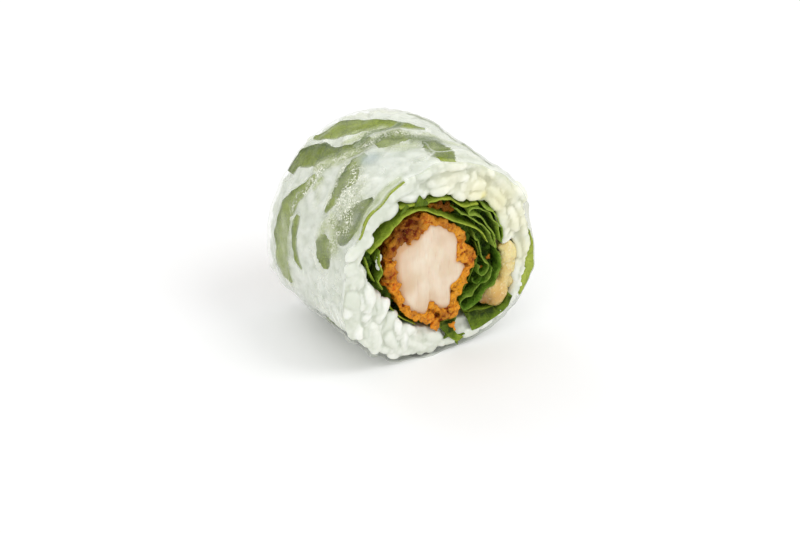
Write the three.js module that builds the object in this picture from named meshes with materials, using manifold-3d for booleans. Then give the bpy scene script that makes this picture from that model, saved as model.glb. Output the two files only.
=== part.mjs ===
// A cut piece of fresh spring roll: rice paper round cooked rice, herb leaves, folded lettuce,
// a line of dressing and a core of breaded chicken that runs from end to end.
// Millimetres. Y runs along the roll with the shown cut at -Y, X goes across it and Z is up.
// The origin is on the face the roll rests on, under its middle.

import * as THREE from 'three';
import { ImprovedNoise } from 'three/addons/math/ImprovedNoise.js';
import Module from 'manifold-3d';

const wasm = await Module();
wasm.setup();

// The roll's section: an ellipse above its widest level, a settled superellipse below it
const HALF_WIDTH = 25;
const HEIGHT = 47.6;
const WIDEST_Z = 18.9;
const SAG_POWER = 2.29;
const SETTLE = 0.3; // how far the lowest arc is pressed flat

// Along the roll: both ends of the wrapping draw in, the rear one more
const LENGTH = 37;
const REAR = { from: 4, reach: 14.5, shrink: 0.1 };
const FRONT = { from: -12, reach: 6.5, shrink: 0.02 };

// The layers, as depths below the section
const PAPER_DIMPLE = 0.6; // how deep the paper sinks between grains
const PAPER_INSIDE = 1.15;
const LEAF_DEPTH = 1.7; // middle of the leaves that lie under the paper
const LEAF_HALF = 0.25;
const RICE_DEPTH = 2.25;

// One cooked grain of rice
const GRAIN = { length: 6.6, width: 3.1, thickness: 2.6 };
const GRAIN_PITCH = 3.1;
const CORE_END = 16.7; // where the packed rice ends; the loose grains stand proud of it

// The filling turns and drifts a little towards the rear end
const FILLING_CENTRE = new THREE.Vector2(-1, 21);
const FILLING_TURN = THREE.MathUtils.degToRad(6);
const FILLING_DRIFT = new THREE.Vector2(0.3, 0.3);
const STATIONS = [-19, -9, 0, 9, 19];
const FINE_STATIONS = [-13.5, -9, -6, -3, 0, 3, 6, 9, 13.5];

const noise = new ImprovedNoise();

// A repeatable source of random numbers between 0 and 1
function seeded(seed) {
  let state = seed;
  return () => {
    state = (state + 0x6d2b79f5) | 0;
    let mixed = Math.imul(state ^ (state >>> 15), 1 | state);
    mixed = (mixed + Math.imul(mixed ^ (mixed >>> 7), 61 | mixed)) ^ mixed;
    return ((mixed ^ (mixed >>> 14)) >>> 0) / 4294967296;
  };
}

const smooth = (value, low, high) => THREE.MathUtils.smoothstep(value, low, high);

// The roll's outline at an angle from +X, counter-clockwise as seen from the shown cut
function sectionPoint(angle) {
  const across = Math.cos(angle);
  const up = Math.sin(angle);
  if (up >= 0) {
    return new THREE.Vector2(HALF_WIDTH * across, WIDEST_Z + (HEIGHT - WIDEST_Z) * up);
  }
  const power = 2 / SAG_POWER;
  const x = HALF_WIDTH * Math.sign(across) * Math.abs(across) ** power;
  const z = WIDEST_Z - (WIDEST_Z + SETTLE) * Math.abs(up) ** power;
  return new THREE.Vector2(x, Math.max(0, z));
}

// A point of the section moved inwards by a depth
function sectionInside(angle, depth) {
  const step = 0.02;
  const along = sectionPoint(angle + step).sub(sectionPoint(angle - step)).normalize();
  const point = sectionPoint(angle);
  return new THREE.Vector2(point.x - along.y * depth, point.y + along.x * depth);
}

// How much the section has shrunk towards the resting line at a place along the roll
function taper(y) {
  const rear = Math.max(0, (y - REAR.from) / REAR.reach);
  const front = Math.max(0, (FRONT.from - y) / FRONT.reach);
  return 1 - REAR.shrink * rear ** 2 - FRONT.shrink * front ** 2;
}

function place(point, y) {
  const size = taper(y);
  return new THREE.Vector3(point.x * size, y, point.y * size);
}

// A point of the filling, given where it lies in the shown cut, carried back along the roll
function placeFilling(point, y) {
  const back = stationed(y, (station) => smooth(station, STATIONS[0], STATIONS.at(-1)));
  const turned = point.clone().rotateAround(FILLING_CENTRE, FILLING_TURN * back);
  return place(turned.addScaledVector(FILLING_DRIFT, back), y);
}

// The value of a function at y, read straight between the stations on either side
function stationed(y, value) {
  const next = STATIONS.findIndex((station) => station >= y);
  const high = Math.max(1, next);
  const share = (y - STATIONS[high - 1]) / (STATIONS[high] - STATIONS[high - 1]);
  return THREE.MathUtils.lerp(value(STATIONS[high - 1]), value(STATIONS[high]), share);
}

const vectors = (pairs) => pairs.map(([x, z]) => new THREE.Vector2(x, z));

// An even run of points on a smooth curve through pairs of numbers
function alongCurve(pairs, steps, closed = false) {
  const knots = pairs.map(([x, z]) => new THREE.Vector3(x, z, 0));
  const curve = new THREE.CatmullRomCurve3(knots, closed, 'centripetal');
  const points = curve.getSpacedPoints(steps).map((point) => new THREE.Vector2(point.x, point.y));
  return closed ? points.slice(0, -1) : points;
}

// A closed geometry from points and triangles, turned so that its faces point out
function closedGeometry(points, triangles) {
  let volume = 0;
  for (const [a, b, c] of triangles) {
    volume += points[a].dot(points[b].clone().cross(points[c]));
  }
  const faces = volume < 0 ? triangles.map(([a, b, c]) => [a, c, b]) : triangles;
  const coordinates = points.flatMap((point) => point.toArray());
  const geometry = new THREE.BufferGeometry();
  geometry.setAttribute('position', new THREE.Float32BufferAttribute(coordinates, 3));
  geometry.setIndex(faces.flat());
  return geometry;
}

// Two triangles for each cell between two closed rings of equal count
function bridge(triangles, ringA, ringB, count) {
  for (let i = 0; i < count; i++) {
    const next = (i + 1) % count;
    triangles.push([ringA + i, ringA + next, ringB + next], [ringA + i, ringB + next, ringB + i]);
  }
}

// A solid through closed rings of points, each end closed by a flat fill
function loft(rings) {
  const count = rings[0].length;
  const triangles = [];
  for (let j = 0; j < rings.length - 1; j++) {
    bridge(triangles, j * count, (j + 1) * count, count);
  }
  const flat = (ring) => ring.map((point) => new THREE.Vector2(point.x, point.z));
  const last = (rings.length - 1) * count;
  const close = (ring, start, forward) => {
    for (const face of THREE.ShapeUtils.triangulateShape(flat(ring), [])) {
      const corners = face.map((corner) => start + corner);
      triangles.push(forward ? corners.reverse() : corners);
    }
  };
  const ccw = THREE.ShapeUtils.area(flat(rings[0])) > 0;
  close(rings[0], 0, ccw);
  close(rings.at(-1), last, !ccw);
  return closedGeometry(rings.flat(), triangles);
}

// A thin solid on both sides of a middle surface, given as rows of points.
// Both faces are split into triangles alike, and a rim joins them. The function half gives
// half its thickness at a share of the way across.
function sheet(rows, half) {
  const wide = rows[0].length;
  const tall = rows.length;
  const within = (index, count) => THREE.MathUtils.clamp(index, 0, count - 1);
  const at = (i, j) => rows[within(j, tall)][within(i, wide)];
  const faces = [[], []];
  for (let j = 0; j < tall; j++) {
    for (let i = 0; i < wide; i++) {
      const across = at(i + 1, j).clone().sub(at(i - 1, j));
      const normal = across.cross(at(i, j + 1).clone().sub(at(i, j - 1))).normalize();
      const offset = half(i / (wide - 1));
      faces[0].push(at(i, j).clone().addScaledVector(normal, offset));
      faces[1].push(at(i, j).clone().addScaledVector(normal, -offset));
    }
  }
  const count = faces[0].length;
  const triangles = [];
  const cell = (j, i) => j * wide + i;
  for (let j = 0; j < tall - 1; j++) {
    for (let i = 0; i < wide - 1; i++) {
      const [a, b, c, d] = [cell(j, i), cell(j, i + 1), cell(j + 1, i + 1), cell(j + 1, i)];
      triangles.push([a, b, c], [a, c, d]);
      triangles.push([count + c, count + b, count + a], [count + d, count + c, count + a]);
    }
  }
  const steps = (count) => Array.from({ length: count - 1 }, (_, i) => i);
  const rim = [
    ...steps(wide).map((i) => cell(0, i)),
    ...steps(tall).map((j) => cell(j, wide - 1)),
    ...steps(wide).map((i) => cell(tall - 1, wide - 1 - i)),
    ...steps(tall).map((j) => cell(tall - 1 - j, 0)),
  ];
  rim.forEach((a, index) => {
    const b = rim[(index + 1) % rim.length];
    triangles.push([b, a, count + a], [b, count + a, count + b]);
  });
  return closedGeometry(faces.flat(), triangles);
}

// Rice paper: one skin drawn over the rice, sunk between the grains, with its cut rims left uneven
const PAPER_STEPS = 52;
const PAPER_ROWS = 11;
const PAPER_INNER_SHARES = [0, 0.09, 0.18, 0.62, 0.76, 0.88, 1];
const PAPER_END = { middle: 17.9, slant: 0.45, slantAt: THREE.MathUtils.degToRad(20), rearWave: 0.3 };
const PAPER_LIP = { at: THREE.MathUtils.degToRad(262), spread: 0.3, reach: 0.45 };
const DIMPLES = { pitch: 3.4, offset: 9, level: 0.5, gain: 0.75, fromZ: 0.5, fullZ: 4 };
const SEAM = { at: THREE.MathUtils.degToRad(318), rise: 0.02, flat: 0.1, fade: 0.5, height: 0.35 };

function paperFront(angle) {
  const lip = PAPER_LIP.reach * Math.exp(-(((angle - PAPER_LIP.at) / PAPER_LIP.spread) ** 2));
  return -(PAPER_END.middle + PAPER_END.slant * Math.cos(angle - PAPER_END.slantAt) + lip);
}

function paperRear(angle) {
  return PAPER_END.middle + PAPER_END.rearWave * Math.sin(2 * angle + 1);
}

// How deep the paper's outer face lies: dimples between grains, a step at the lapped edge
function paperDepth(angle, y) {
  const point = sectionPoint(angle);
  const lifted = smooth(point.y, DIMPLES.fromZ, DIMPLES.fullZ);
  const { pitch } = DIMPLES;
  const wave = noise.noise(point.x / pitch + DIMPLES.offset, y / pitch, point.y / pitch);
  const risen = smooth(angle, SEAM.at - SEAM.rise, SEAM.at + SEAM.rise);
  const lap = risen * (1 - smooth(angle, SEAM.at + SEAM.flat, SEAM.at + SEAM.fade));
  const dimple = PAPER_DIMPLE * THREE.MathUtils.clamp(DIMPLES.level - DIMPLES.gain * wave, 0, 1);
  return lifted * Math.max(0, dimple - SEAM.height * lap);
}

function ricePaper() {
  const angles = Array.from({ length: PAPER_STEPS }, (_, i) => (2 * Math.PI * (i + 0.5)) / PAPER_STEPS);
  const ring = (share, depth) => angles.map((angle) => {
    const y = THREE.MathUtils.lerp(paperFront(angle), paperRear(angle), share);
    return place(sectionInside(angle, depth(angle, y)), y);
  });
  const outer = Array.from({ length: PAPER_ROWS + 1 }, (_, j) => ring(j / PAPER_ROWS, paperDepth));
  const inner = PAPER_INNER_SHARES.map((share) => ring(share, () => PAPER_INSIDE));
  const rings = [...outer, ...inner.reverse()];
  const triangles = [];
  rings.forEach((_, j) => {
    const next = (j + 1) % rings.length;
    bridge(triangles, j * PAPER_STEPS, next * PAPER_STEPS, PAPER_STEPS);
  });
  return closedGeometry(rings.flat(), triangles);
}

// Breaded chicken: pale meat with a craggy fried crust, in outlines as seen in the shown cut
const CHICKEN_CENTRE = new THREE.Vector2(-3, 22);
const CHICKEN_SIDES = 40;
const CHICKEN_END = 18.1;
const REAR_END_LIFT = 0.3; // the rear end lies this much further in
const SHOULDERS = { front: 0.5, rear: 0.7 }; // from each end to the full width of the crust
const CRAG = { depth: 1.1, around: 4, along: 3.5, level: 0.35, wave: 0.5, chance: 0.5, even: 0.4 };
const MEAT_SINK = { least: 0.2, chance: 0.3 };
const CRUST_STEPS = 160;
const MEAT_STEPS = 90;
const CRUST_OUTLINE = [
  [-13.3, 30.9], [-14, 26.2], [-14.3, 22.9], [-13.6, 20.4], [-12, 18.2], [-11.3, 15.3], [-9.6, 13],
  [-7.1, 11], [-4.7, 9.4], [-3.3, 7.7], [-1.6, 7.5], [1.2, 7.8], [3.8, 7.7], [4.8, 8.8], [3.6, 10.7],
  [2.9, 11.7], [5.4, 13.4], [6.1, 15], [7.5, 18.2], [8.5, 18.9], [9.1, 20.7], [8.8, 23.5], [6.9, 25],
  [6.4, 28.5], [4.3, 30], [1.5, 31.9], [-1.8, 34.4], [-4.1, 36], [-6.4, 36], [-8.7, 35.1], [-10.6, 34.3],
  [-12.2, 32.5],
];
const MEAT_OUTLINE = [
  [-11.7, 28.6], [-11.4, 25.4], [-10.9, 21.6], [-10.3, 18.4], [-8.9, 15], [-7.1, 12.5], [-4.9, 10.8],
  [-3.7, 11.2], [-3, 13.7], [-0.7, 12], [0.7, 11.1], [2.2, 11.2], [2.5, 12.9], [2.3, 16.2], [4.2, 17.4],
  [5.7, 19.7], [5.2, 21], [3.8, 22.1], [4.1, 26.7], [3.6, 28.9], [1.9, 30.7], [-0.6, 32.3], [-2.7, 33],
  [-3.7, 32.1], [-6.9, 30.1], [-10.6, 29.3],
];

// How far an outline reaches from a centre in one direction
function reach(outline, centre, angle) {
  const aim = new THREE.Vector2(Math.cos(angle), Math.sin(angle));
  let far = 0;
  outline.forEach((start, i) => {
    const a = start.clone().sub(centre);
    const b = outline[(i + 1) % outline.length].clone().sub(centre);
    const sideA = aim.cross(a);
    const sideB = aim.cross(b);
    const crosses = sideA * sideB <= 0 && sideA !== sideB;
    if (crosses) {
      far = Math.max(far, a.lerp(b, sideA / (sideA - sideB)).dot(aim));
    }
  });
  return far;
}

function breadedChicken() {
  const crust = alongCurve(CRUST_OUTLINE, CRUST_STEPS, true);
  const meat = alongCurve(MEAT_OUTLINE, MEAT_STEPS, true);
  const random = seeded(11);
  const angles = Array.from({ length: CHICKEN_SIDES }, (_, i) => (2 * Math.PI * i) / CHICKEN_SIDES);
  const polar = (angle, radius) => new THREE.Vector2(
    CHICKEN_CENTRE.x + radius * Math.cos(angle), CHICKEN_CENTRE.y + radius * Math.sin(angle));
  const sideRing = (y) => angles.map((angle) => {
    const ridge = noise.noise(CRAG.around * Math.cos(angle), CRAG.around * Math.sin(angle), y / CRAG.along);
    const chance = CRAG.chance * (random() - CRAG.even);
    const crag = CRAG.depth * THREE.MathUtils.clamp(CRAG.level - CRAG.wave * ridge + chance, 0, 1);
    return placeFilling(polar(angle, reach(crust, CHICKEN_CENTRE, angle) - crag), y);
  });
  const endRing = (y, inwards) => angles.map((angle) => {
    const radius = reach(meat, CHICKEN_CENTRE, angle);
    const sink = MEAT_SINK.least + MEAT_SINK.chance * random();
    return placeFilling(polar(angle, radius), y + inwards * sink);
  });
  const rearEnd = CHICKEN_END - REAR_END_LIFT;
  const places = [-CHICKEN_END + SHOULDERS.front, ...FINE_STATIONS, CHICKEN_END - SHOULDERS.rear];
  const rings = [endRing(-CHICKEN_END, 1), ...places.map(sideRing), endRing(rearEnd, -1)];
  const triangles = [];
  for (let j = 0; j < rings.length - 1; j++) {
    bridge(triangles, j * CHICKEN_SIDES, (j + 1) * CHICKEN_SIDES, CHICKEN_SIDES);
  }
  const points = rings.flat();
  const ends = [[0, -CHICKEN_END], [(rings.length - 1) * CHICKEN_SIDES, rearEnd]];
  ends.forEach(([start, y], index) => {
    const middle = points.push(placeFilling(CHICKEN_CENTRE, y)) - 1;
    angles.forEach((_, i) => {
      const next = (i + 1) % CHICKEN_SIDES;
      triangles.push(index ? [start + i, start + next, middle] : [start + next, start + i, middle]);
    });
  });
  return closedGeometry(points, triangles);
}

// A leaf of the filling: a ribbon along a path in the shown cut, run back through the roll.
// A flap, where it has one, is the leaf's front edge hanging down over the rice.
const RIBBON_HALF = 0.28;
const RIBBON_FRONT = 17.8;
const RIBBON_REAR = 17.4;
const RIBBON_EDGE = { thin: 0.55, share: 0.12 };

function ribbon({ path, steps, front = RIBBON_FRONT, half = RIBBON_HALF, flap = [] }) {
  const row = (line, y) => alongCurve(line, steps).map((point) => placeFilling(point, y));
  const places = [-front, ...STATIONS.slice(1, -1), RIBBON_REAR];
  const hanging = flap.map((edge) => row(edge.path, -edge.y)).reverse();
  const thickness = (share) => {
    const full = smooth(Math.min(share, 1 - share), 0, RIBBON_EDGE.share);
    return half * THREE.MathUtils.lerp(RIBBON_EDGE.thin, 1, full);
  };
  return sheet([...hanging, ...places.map((y) => row(path, y))], thickness);
}

const FILLING_LEAVES = {
  leaf_wrap: {
    path: [
      [-18.2, 30.3], [-14, 33.3], [-10, 36.4], [-7.5, 37.3], [-4.5, 36.9], [-2, 35.4], [0, 34.3],
      [3, 32.4], [6, 30.6], [9, 28.5], [10.9, 26.5], [11.9, 24.6],
    ],
    steps: 15, half: 0.36, front: 18,
  },
  leaf_top: {
    path: [
      [-10.3, 38.7], [-8, 38.7], [-6, 38.5], [-4, 38.1], [-2, 38.1], [0, 38.1], [2, 37.6], [4, 36.1],
      [5.5, 34.9], [7.5, 34.6], [9.5, 34.3],
    ],
    steps: 11, half: 0.38, front: 17.7,
  },
  leaf_left: {
    path: [[-18.7, 29], [-18.1, 26.9], [-17.3, 24.4], [-16.2, 22.4]],
    steps: 4, half: 0.4, front: 17,
  },
  leaf_blade: {
    path: [[-15.3, 30], [-15.5, 26], [-15.4, 23], [-15.1, 20.4]],
    steps: 4, front: 17.6,
  },
  leaf_shade: {
    path: [[-18, 32.4], [-16.6, 34], [-14.3, 35.4], [-11.9, 36.8]],
    steps: 4, half: 0.3, front: 16.4,
  },
  leaf_under: {
    path: [[-13.4, 16.6], [-11.5, 13.4], [-8.9, 10.8], [-6.2, 8.9]],
    steps: 5, front: 17.3,
  },
  leaf_wedge: {
    path: [[6.6, 7.9], [9, 7.4], [12, 6.9], [14.4, 6.9], [16.6, 7.9], [17.9, 9.8]],
    steps: 8, half: 0.25, front: 16.9,
    flap: [
      { path: [[6.8, 6.8], [9.2, 6.4], [12.1, 6.2], [14.6, 6.4], [16.8, 7.5], [18, 9.6]], y: 17.35 },
      { path: [[7.9, 3.8], [10, 4.1], [12.4, 4.8], [14.8, 5.5], [17.1, 6.9], [18.1, 9.2]], y: 17.5 },
    ],
  },
  leaf_tip: {
    path: [[-0.8, 6.85], [2, 6.95], [4.8, 7]],
    steps: 4, half: 0.2, front: 16.9,
    flap: [
      { path: [[1, 6.2], [2.4, 5.9], [4, 6.2]], y: 17.35 },
      { path: [[1.6, 3.9], [2.6, 3.4], [3.8, 3.9]], y: 17.6 },
      { path: [[2.6, 2.6], [3.6, 2.1], [4.9, 2.8]], y: 17.7 },
    ],
  },
  lettuce_folds: {
    path: [
      [3.6, 34.1], [5.2, 32.9], [7.6, 31.2], [9.8, 29.3], [11.8, 26.9], [13.1, 24.3], [13.6, 22.5],
      [14.2, 21.9], [14.6, 22.9], [14.2, 24.8], [13, 27.4], [11.2, 30], [9.2, 31.9], [7.4, 32.8],
      [7.9, 33.4], [9.2, 33.1], [10.9, 32.1], [12.8, 30], [14.2, 27.5], [15, 25.2], [15.2, 23.6],
      [15.8, 22.8], [16.3, 23.7], [16.3, 25.6], [15.4, 28.6], [13.7, 31.5], [11.7, 33.3], [10.8, 33.7],
    ],
    steps: 34, half: 0.24, front: 17.9,
  },
  lettuce_curl: {
    path: [
      [9.2, 27], [9.1, 25.7], [10.1, 25.2], [10.8, 23.6], [11, 21.5], [11.9, 19.6], [13.1, 18.1],
      [12.3, 16.6], [10.6, 16.2], [9.4, 17.2], [9.9, 18.9],
    ],
    steps: 16, front: 17.5,
  },
  lettuce_low: {
    path: [
      [15.2, 20.6], [15.4, 17.5], [14.5, 14.5], [12.5, 12.1], [10, 10.4], [7.6, 9.3], [5.9, 9.6],
      [5.4, 10.9], [6.8, 11.9], [9, 12.1], [11, 13.2], [12.8, 15.3], [13.8, 17.2],
    ],
    steps: 20, front: 17.6,
  },
  leaf_inside: {
    path: [[9.6, 24.2], [10, 22.6], [10.1, 21.2], [9.6, 19.4], [8.4, 17.1], [7.3, 14.8], [6.5, 13.4]],
    steps: 7, half: 0.22, front: 16.9,
  },
  lettuce_mid: {
    path: [[9.2, 15.4], [9.1, 14.5], [10.2, 14.2], [11.4, 15.2]],
    steps: 5, half: 0.22, front: 16.8,
  },
};

// Dressing: a lumpy line of sauce that fills the space outside the lettuce
const DRESSING_OUTLINE = [
  [16.7, 21.8], [18.4, 21.6], [19.7, 18.5], [19.8, 16], [19, 13.2], [18, 11], [16.7, 8.9], [14.6, 7.8],
  [12.2, 7.9], [10.9, 8.7], [11.7, 9.9], [13.8, 11.1], [15.5, 13], [16.4, 15.5], [16.5, 18.6],
];
const DRESSING_SIDES = 12;
const DRESSING_CENTRE = new THREE.Vector2(16.9, 12.9);
const DRESSING_LUMPS = { level: 0.93, swing: 0.07, around: 0.9, along: 4 };
// How large the section is near both ends, where the sauce rounds off: y and share
const DRESSING_FRONT = [[-17.7, 0.75], [-17.1, 0.95]];
const DRESSING_REAR = [17, 0.9];

function dressing() {
  const outline = alongCurve(DRESSING_OUTLINE, DRESSING_SIDES, true);
  const ring = ([y, size]) => outline.map((point, i) => {
    const wave = noise.noise(i * DRESSING_LUMPS.around, y / DRESSING_LUMPS.along, 0);
    const lump = size * (DRESSING_LUMPS.level + DRESSING_LUMPS.swing * wave);
    return placeFilling(DRESSING_CENTRE.clone().lerp(point, lump), y);
  });
  return loft([...DRESSING_FRONT, ...FINE_STATIONS.map((y) => [y, 1]), DRESSING_REAR].map(ring));
}

// Leaves that lie under the paper: each follows a spine of [degrees round, y, half width]
const MM_PER_DEGREE = 0.47;
const PAPER_LEAVES = [
  // On the shown side, from the rear edge down to the two by the rim
  [
    [195.8, 6.1, 1.1], [190, 8.4, 2.8], [183.4, 9.4, 3.3], [175.1, 9.7, 2.8], [166.8, 10.3, 3.3],
    [159.9, 10.1, 3.2], [151.5, 8, 2.2], [142.5, 6.3, 1.2], [136.5, 4.9, 0.7],
  ],
  [[179.4, 0.5, 0.4], [174.4, 2.8, 1], [169.2, 4.2, 1.2], [162.9, 4.8, 1.1], [156.8, 4.8, 0.7]],
  [
    [140.8, 15, 2.2], [132.7, 14.4, 2.9], [128.3, 10.7, 3.4], [124.8, 5.8, 2.8], [120.4, 2.8, 2.2],
    [114.5, 1.1, 2], [109, 0.8, 1.7], [104, 1.2, 0.7],
  ],
  [
    [119, 15.8, 0.8], [114, 12.8, 2.9], [108.5, 10.8, 3.8], [104, 8, 3.3], [98, 5.8, 2.5], [92, 3.8, 2.3],
    [86, 1.8, 1.9], [80, 0, 1.4], [75, -1.6, 0.7],
  ],
  [
    [147.6, -3.5, 0.4], [140.7, -4.1, 1.4], [133.3, -3.8, 1.6], [127.3, -4.2, 2.6], [123.2, -3.5, 2.1],
    [118.6, -3, 1.4], [113.4, -3.1, 0.7],
  ],
  [[156.5, -5.6, 0.9], [160, -6.4, 2.5], [163.5, -7.4, 2.9], [167, -8.2, 2.4], [170.5, -8.8, 1]],
  [
    [150.5, -8.6, 1.2], [149.5, -11, 3], [146, -12.6, 3.5], [139.5, -13.4, 2.8], [133.5, -14, 1.7],
    [128.7, -14.6, 0.6],
  ],
  [[106, -2.4, 1], [101, -2.6, 2], [95.5, -2.6, 2.7], [91, -3.6, 2.1], [87.5, -4.6, 0.8]],
  [
    [84, -6.8, 0.8], [83, -8.6, 2.4], [83, -11, 3.2], [84.5, -14, 2.9], [86, -16.6, 2.5],
    [86.5, -18.2, 2],
  ],
  // On the sides that are turned away
  [[66, 11, 0.7], [56, 9, 2], [45, 6, 2.4], [34, 4.6, 1.9], [24, 5, 0.7]],
  [[60, -8, 0.7], [50, -6.4, 1.9], [38, -7.4, 2.4], [27, -9.4, 1.6], [20, -12, 0.7]],
  [[9, -16.4, 0.9], [1, -16.8, 2.6], [-8, -17.4, 3], [-20, -17.6, 2.4], [-32, -17.4, 1]],
  [[10, 11, 0.8], [0, 9, 2.2], [-12, 6.6, 2.6], [-24, 5.4, 2.1], [-36, 6.4, 0.8]],
  [[216, -4, 0.7], [226, -2, 1.9], [237, 0.4, 2.2], [248, 1.6, 0.8]],
  // The narrow edge that shows along the rim of the shown cut
  [[147.5, -17.6, 0.3], [141, -17.6, 0.5], [132, -17.7, 0.5], [122, -17.7, 0.5], [112.5, -17.7, 0.3]],
];
const PAPER_LEAF_FRONT = -18.3; // no leaf reaches past this, where the cut has trimmed it
const PAPER_LEAF_STEPS = 8;
const PAPER_LEAF_HALVES = [-1, 0, 1];

function paperLeaf(spine) {
  const knots = spine.map(([degrees, y, half]) => new THREE.Vector3(degrees * MM_PER_DEGREE, y, half));
  const curve = new THREE.CatmullRomCurve3(knots, false, 'centripetal');
  const rows = curve.getSpacedPoints(PAPER_LEAF_STEPS).map((point, j) => {
    const along = curve.getTangentAt(j / PAPER_LEAF_STEPS);
    const aside = new THREE.Vector2(-along.y, along.x).normalize();
    return PAPER_LEAF_HALVES.map((side) => {
      const round = point.x + aside.x * side * point.z;
      const y = Math.max(PAPER_LEAF_FRONT, point.y + aside.y * side * point.z);
      return place(sectionInside(THREE.MathUtils.degToRad(round / MM_PER_DEGREE), LEAF_DEPTH), y);
    });
  });
  return sheet(rows, () => LEAF_HALF);
}

// Rice: a packed core with a hole for the filling, and the loose grains of both cuts fused to it
const HOLE_OUTLINE = [
  [-19.4, 29.4], [-18.8, 32.2], [-17.2, 34.6], [-14.9, 36.3], [-12.4, 37.7], [-11.4, 39.6], [-8, 39.6],
  [-4, 39.1], [0, 39.1], [2.7, 38.5], [4.9, 36.8], [6.4, 35.7], [9.5, 35.3], [12.3, 34], [14.6, 32.1],
  [16.4, 29], [17.3, 25.6], [17.3, 23.1], [19.1, 22.2], [20.4, 19], [20.5, 16], [19.9, 12.9], [18.9, 10],
  [17.2, 7.2], [14.8, 6.1], [11.8, 6], [8.8, 6.5], [6.2, 6.7], [3, 6.5], [-1.4, 6.3], [-3.6, 7.2],
  [-6.3, 8.1], [-9.5, 10], [-12.2, 13], [-14.2, 16.5], [-15.2, 18.9], [-16.2, 20.6], [-17.5, 22.6],
  [-18.6, 25.5],
];
const FLAP_OUTLINES = [
  [[6.3, 7], [7.5, 3.3], [13.4, 4.3], [17.8, 6.2], [19.4, 9]],
  [[0.4, 6.6], [1, 3.6], [3, 1.4], [5.4, 2.4], [4.6, 6.6]],
];
const HOLE_STEPS = 52;
const CORE_SIDES = 44;
const CORE_OVERLAP = 0.02; // the ends and the shell that trims them are kept off one plane
const SHELL_OVER = 0.05;
const GRAIN_ROOM = { centre: 0.75, tip: -0.2, bound: 0.2 }; // how far inside the rice's own band
const GRAIN_RINGS = [-0.24, 0.24];
const GRAIN_SIDES = 6;
const GRAIN_TIP = 0.8; // share of its half length at which a grain still has its full width
const GRAIN_ROWS = { lowest: 3, spacing: 0.87, shift: 0.5 };
const GRAIN_SPREAD = { place: 0.7, size: 0.1, lean: 0.5, proud: 0.9 };
const TURNS_TRIED = 4;

// A grain along its own Z: two blunt ends and two hexagonal rings
function grainPoints({ length, width, thickness }) {
  const points = [new THREE.Vector3(0, 0, -length / 2)];
  GRAIN_RINGS.forEach((share) => {
    for (let i = 0; i < GRAIN_SIDES; i++) {
      const angle = (2 * Math.PI * i) / GRAIN_SIDES;
      const x = (width / 2) * Math.cos(angle);
      const y = (thickness / 2) * Math.sin(angle);
      points.push(new THREE.Vector3(x, y, share * length));
    }
  });
  points.push(new THREE.Vector3(0, 0, length / 2));
  return points;
}

function grainGeometry(matrix, size) {
  const points = grainPoints(size).map((point) => point.applyMatrix4(matrix));
  const last = points.length - 1;
  const triangles = [];
  for (let i = 0; i < GRAIN_SIDES; i++) {
    const next = (i + 1) % GRAIN_SIDES;
    triangles.push([0, 1 + next, 1 + i], [last, 1 + GRAIN_SIDES + i, 1 + GRAIN_SIDES + next]);
  }
  bridge(triangles, 1, 1 + GRAIN_SIDES, GRAIN_SIDES);
  return closedGeometry(points, triangles);
}

function insideOutline(point, outline) {
  const crossed = outline.filter((a, i) => {
    const b = outline[(i + 1) % outline.length];
    const straddles = a.y > point.y !== b.y > point.y;
    return straddles && point.x < a.x + ((b.x - a.x) * (point.y - a.y)) / (b.y - a.y);
  });
  return crossed.length % 2 === 1;
}

function distanceToOutline(point, outline) {
  const closest = new THREE.Vector3();
  const distances = outline.map((a, i) => {
    const b = outline[(i + 1) % outline.length];
    const edge = new THREE.Line3(new THREE.Vector3(a.x, a.y, 0), new THREE.Vector3(b.x, b.y, 0));
    const target = new THREE.Vector3(point.x, point.y, 0);
    return edge.closestPointToPoint(target, true, closest).distanceTo(target);
  });
  return Math.min(...distances);
}

function toManifold(geometry) {
  const vertProperties = new Float32Array(geometry.getAttribute('position').array);
  const triVerts = new Uint32Array(geometry.getIndex().array);
  return new wasm.Manifold(new wasm.Mesh({ numProp: 3, vertProperties, triVerts }));
}

function fromManifold(manifold) {
  const mesh = manifold.getMesh();
  const geometry = new THREE.BufferGeometry();
  geometry.setAttribute('position', new THREE.BufferAttribute(new Float32Array(mesh.vertProperties), 3));
  geometry.setIndex(new THREE.BufferAttribute(new Uint32Array(mesh.triVerts), 1));
  return geometry;
}

// Positive inside an outline, negative outside it
function signedDistance(point, outline) {
  const side = insideOutline(point, outline) ? 1 : -1;
  return side * distanceToOutline(point, outline);
}

function coreAngles() {
  return Array.from({ length: CORE_SIDES }, (_, i) => (2 * Math.PI * i) / CORE_SIDES);
}

// A function that tells how far a point of one cut lies from the filling and from the paper
function roomInCut(side) {
  const size = taper(side * CORE_END);
  const bound = coreAngles().map((angle) =>
    sectionInside(angle, RICE_DEPTH + GRAIN_ROOM.bound).multiplyScalar(size));
  const carried = (pairs) => vectors(pairs).map((point) => {
    const placed = placeFilling(point, side * CORE_END);
    return new THREE.Vector2(placed.x, placed.z);
  });
  const flaps = side > 0 ? [] : FLAP_OUTLINES;
  const kept = [HOLE_OUTLINE, ...flaps].map(carried);
  return (point) => {
    const clear = kept.map((outline) => -signedDistance(point, outline));
    return Math.min(signedDistance(point, bound), ...clear);
  };
}

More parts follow.
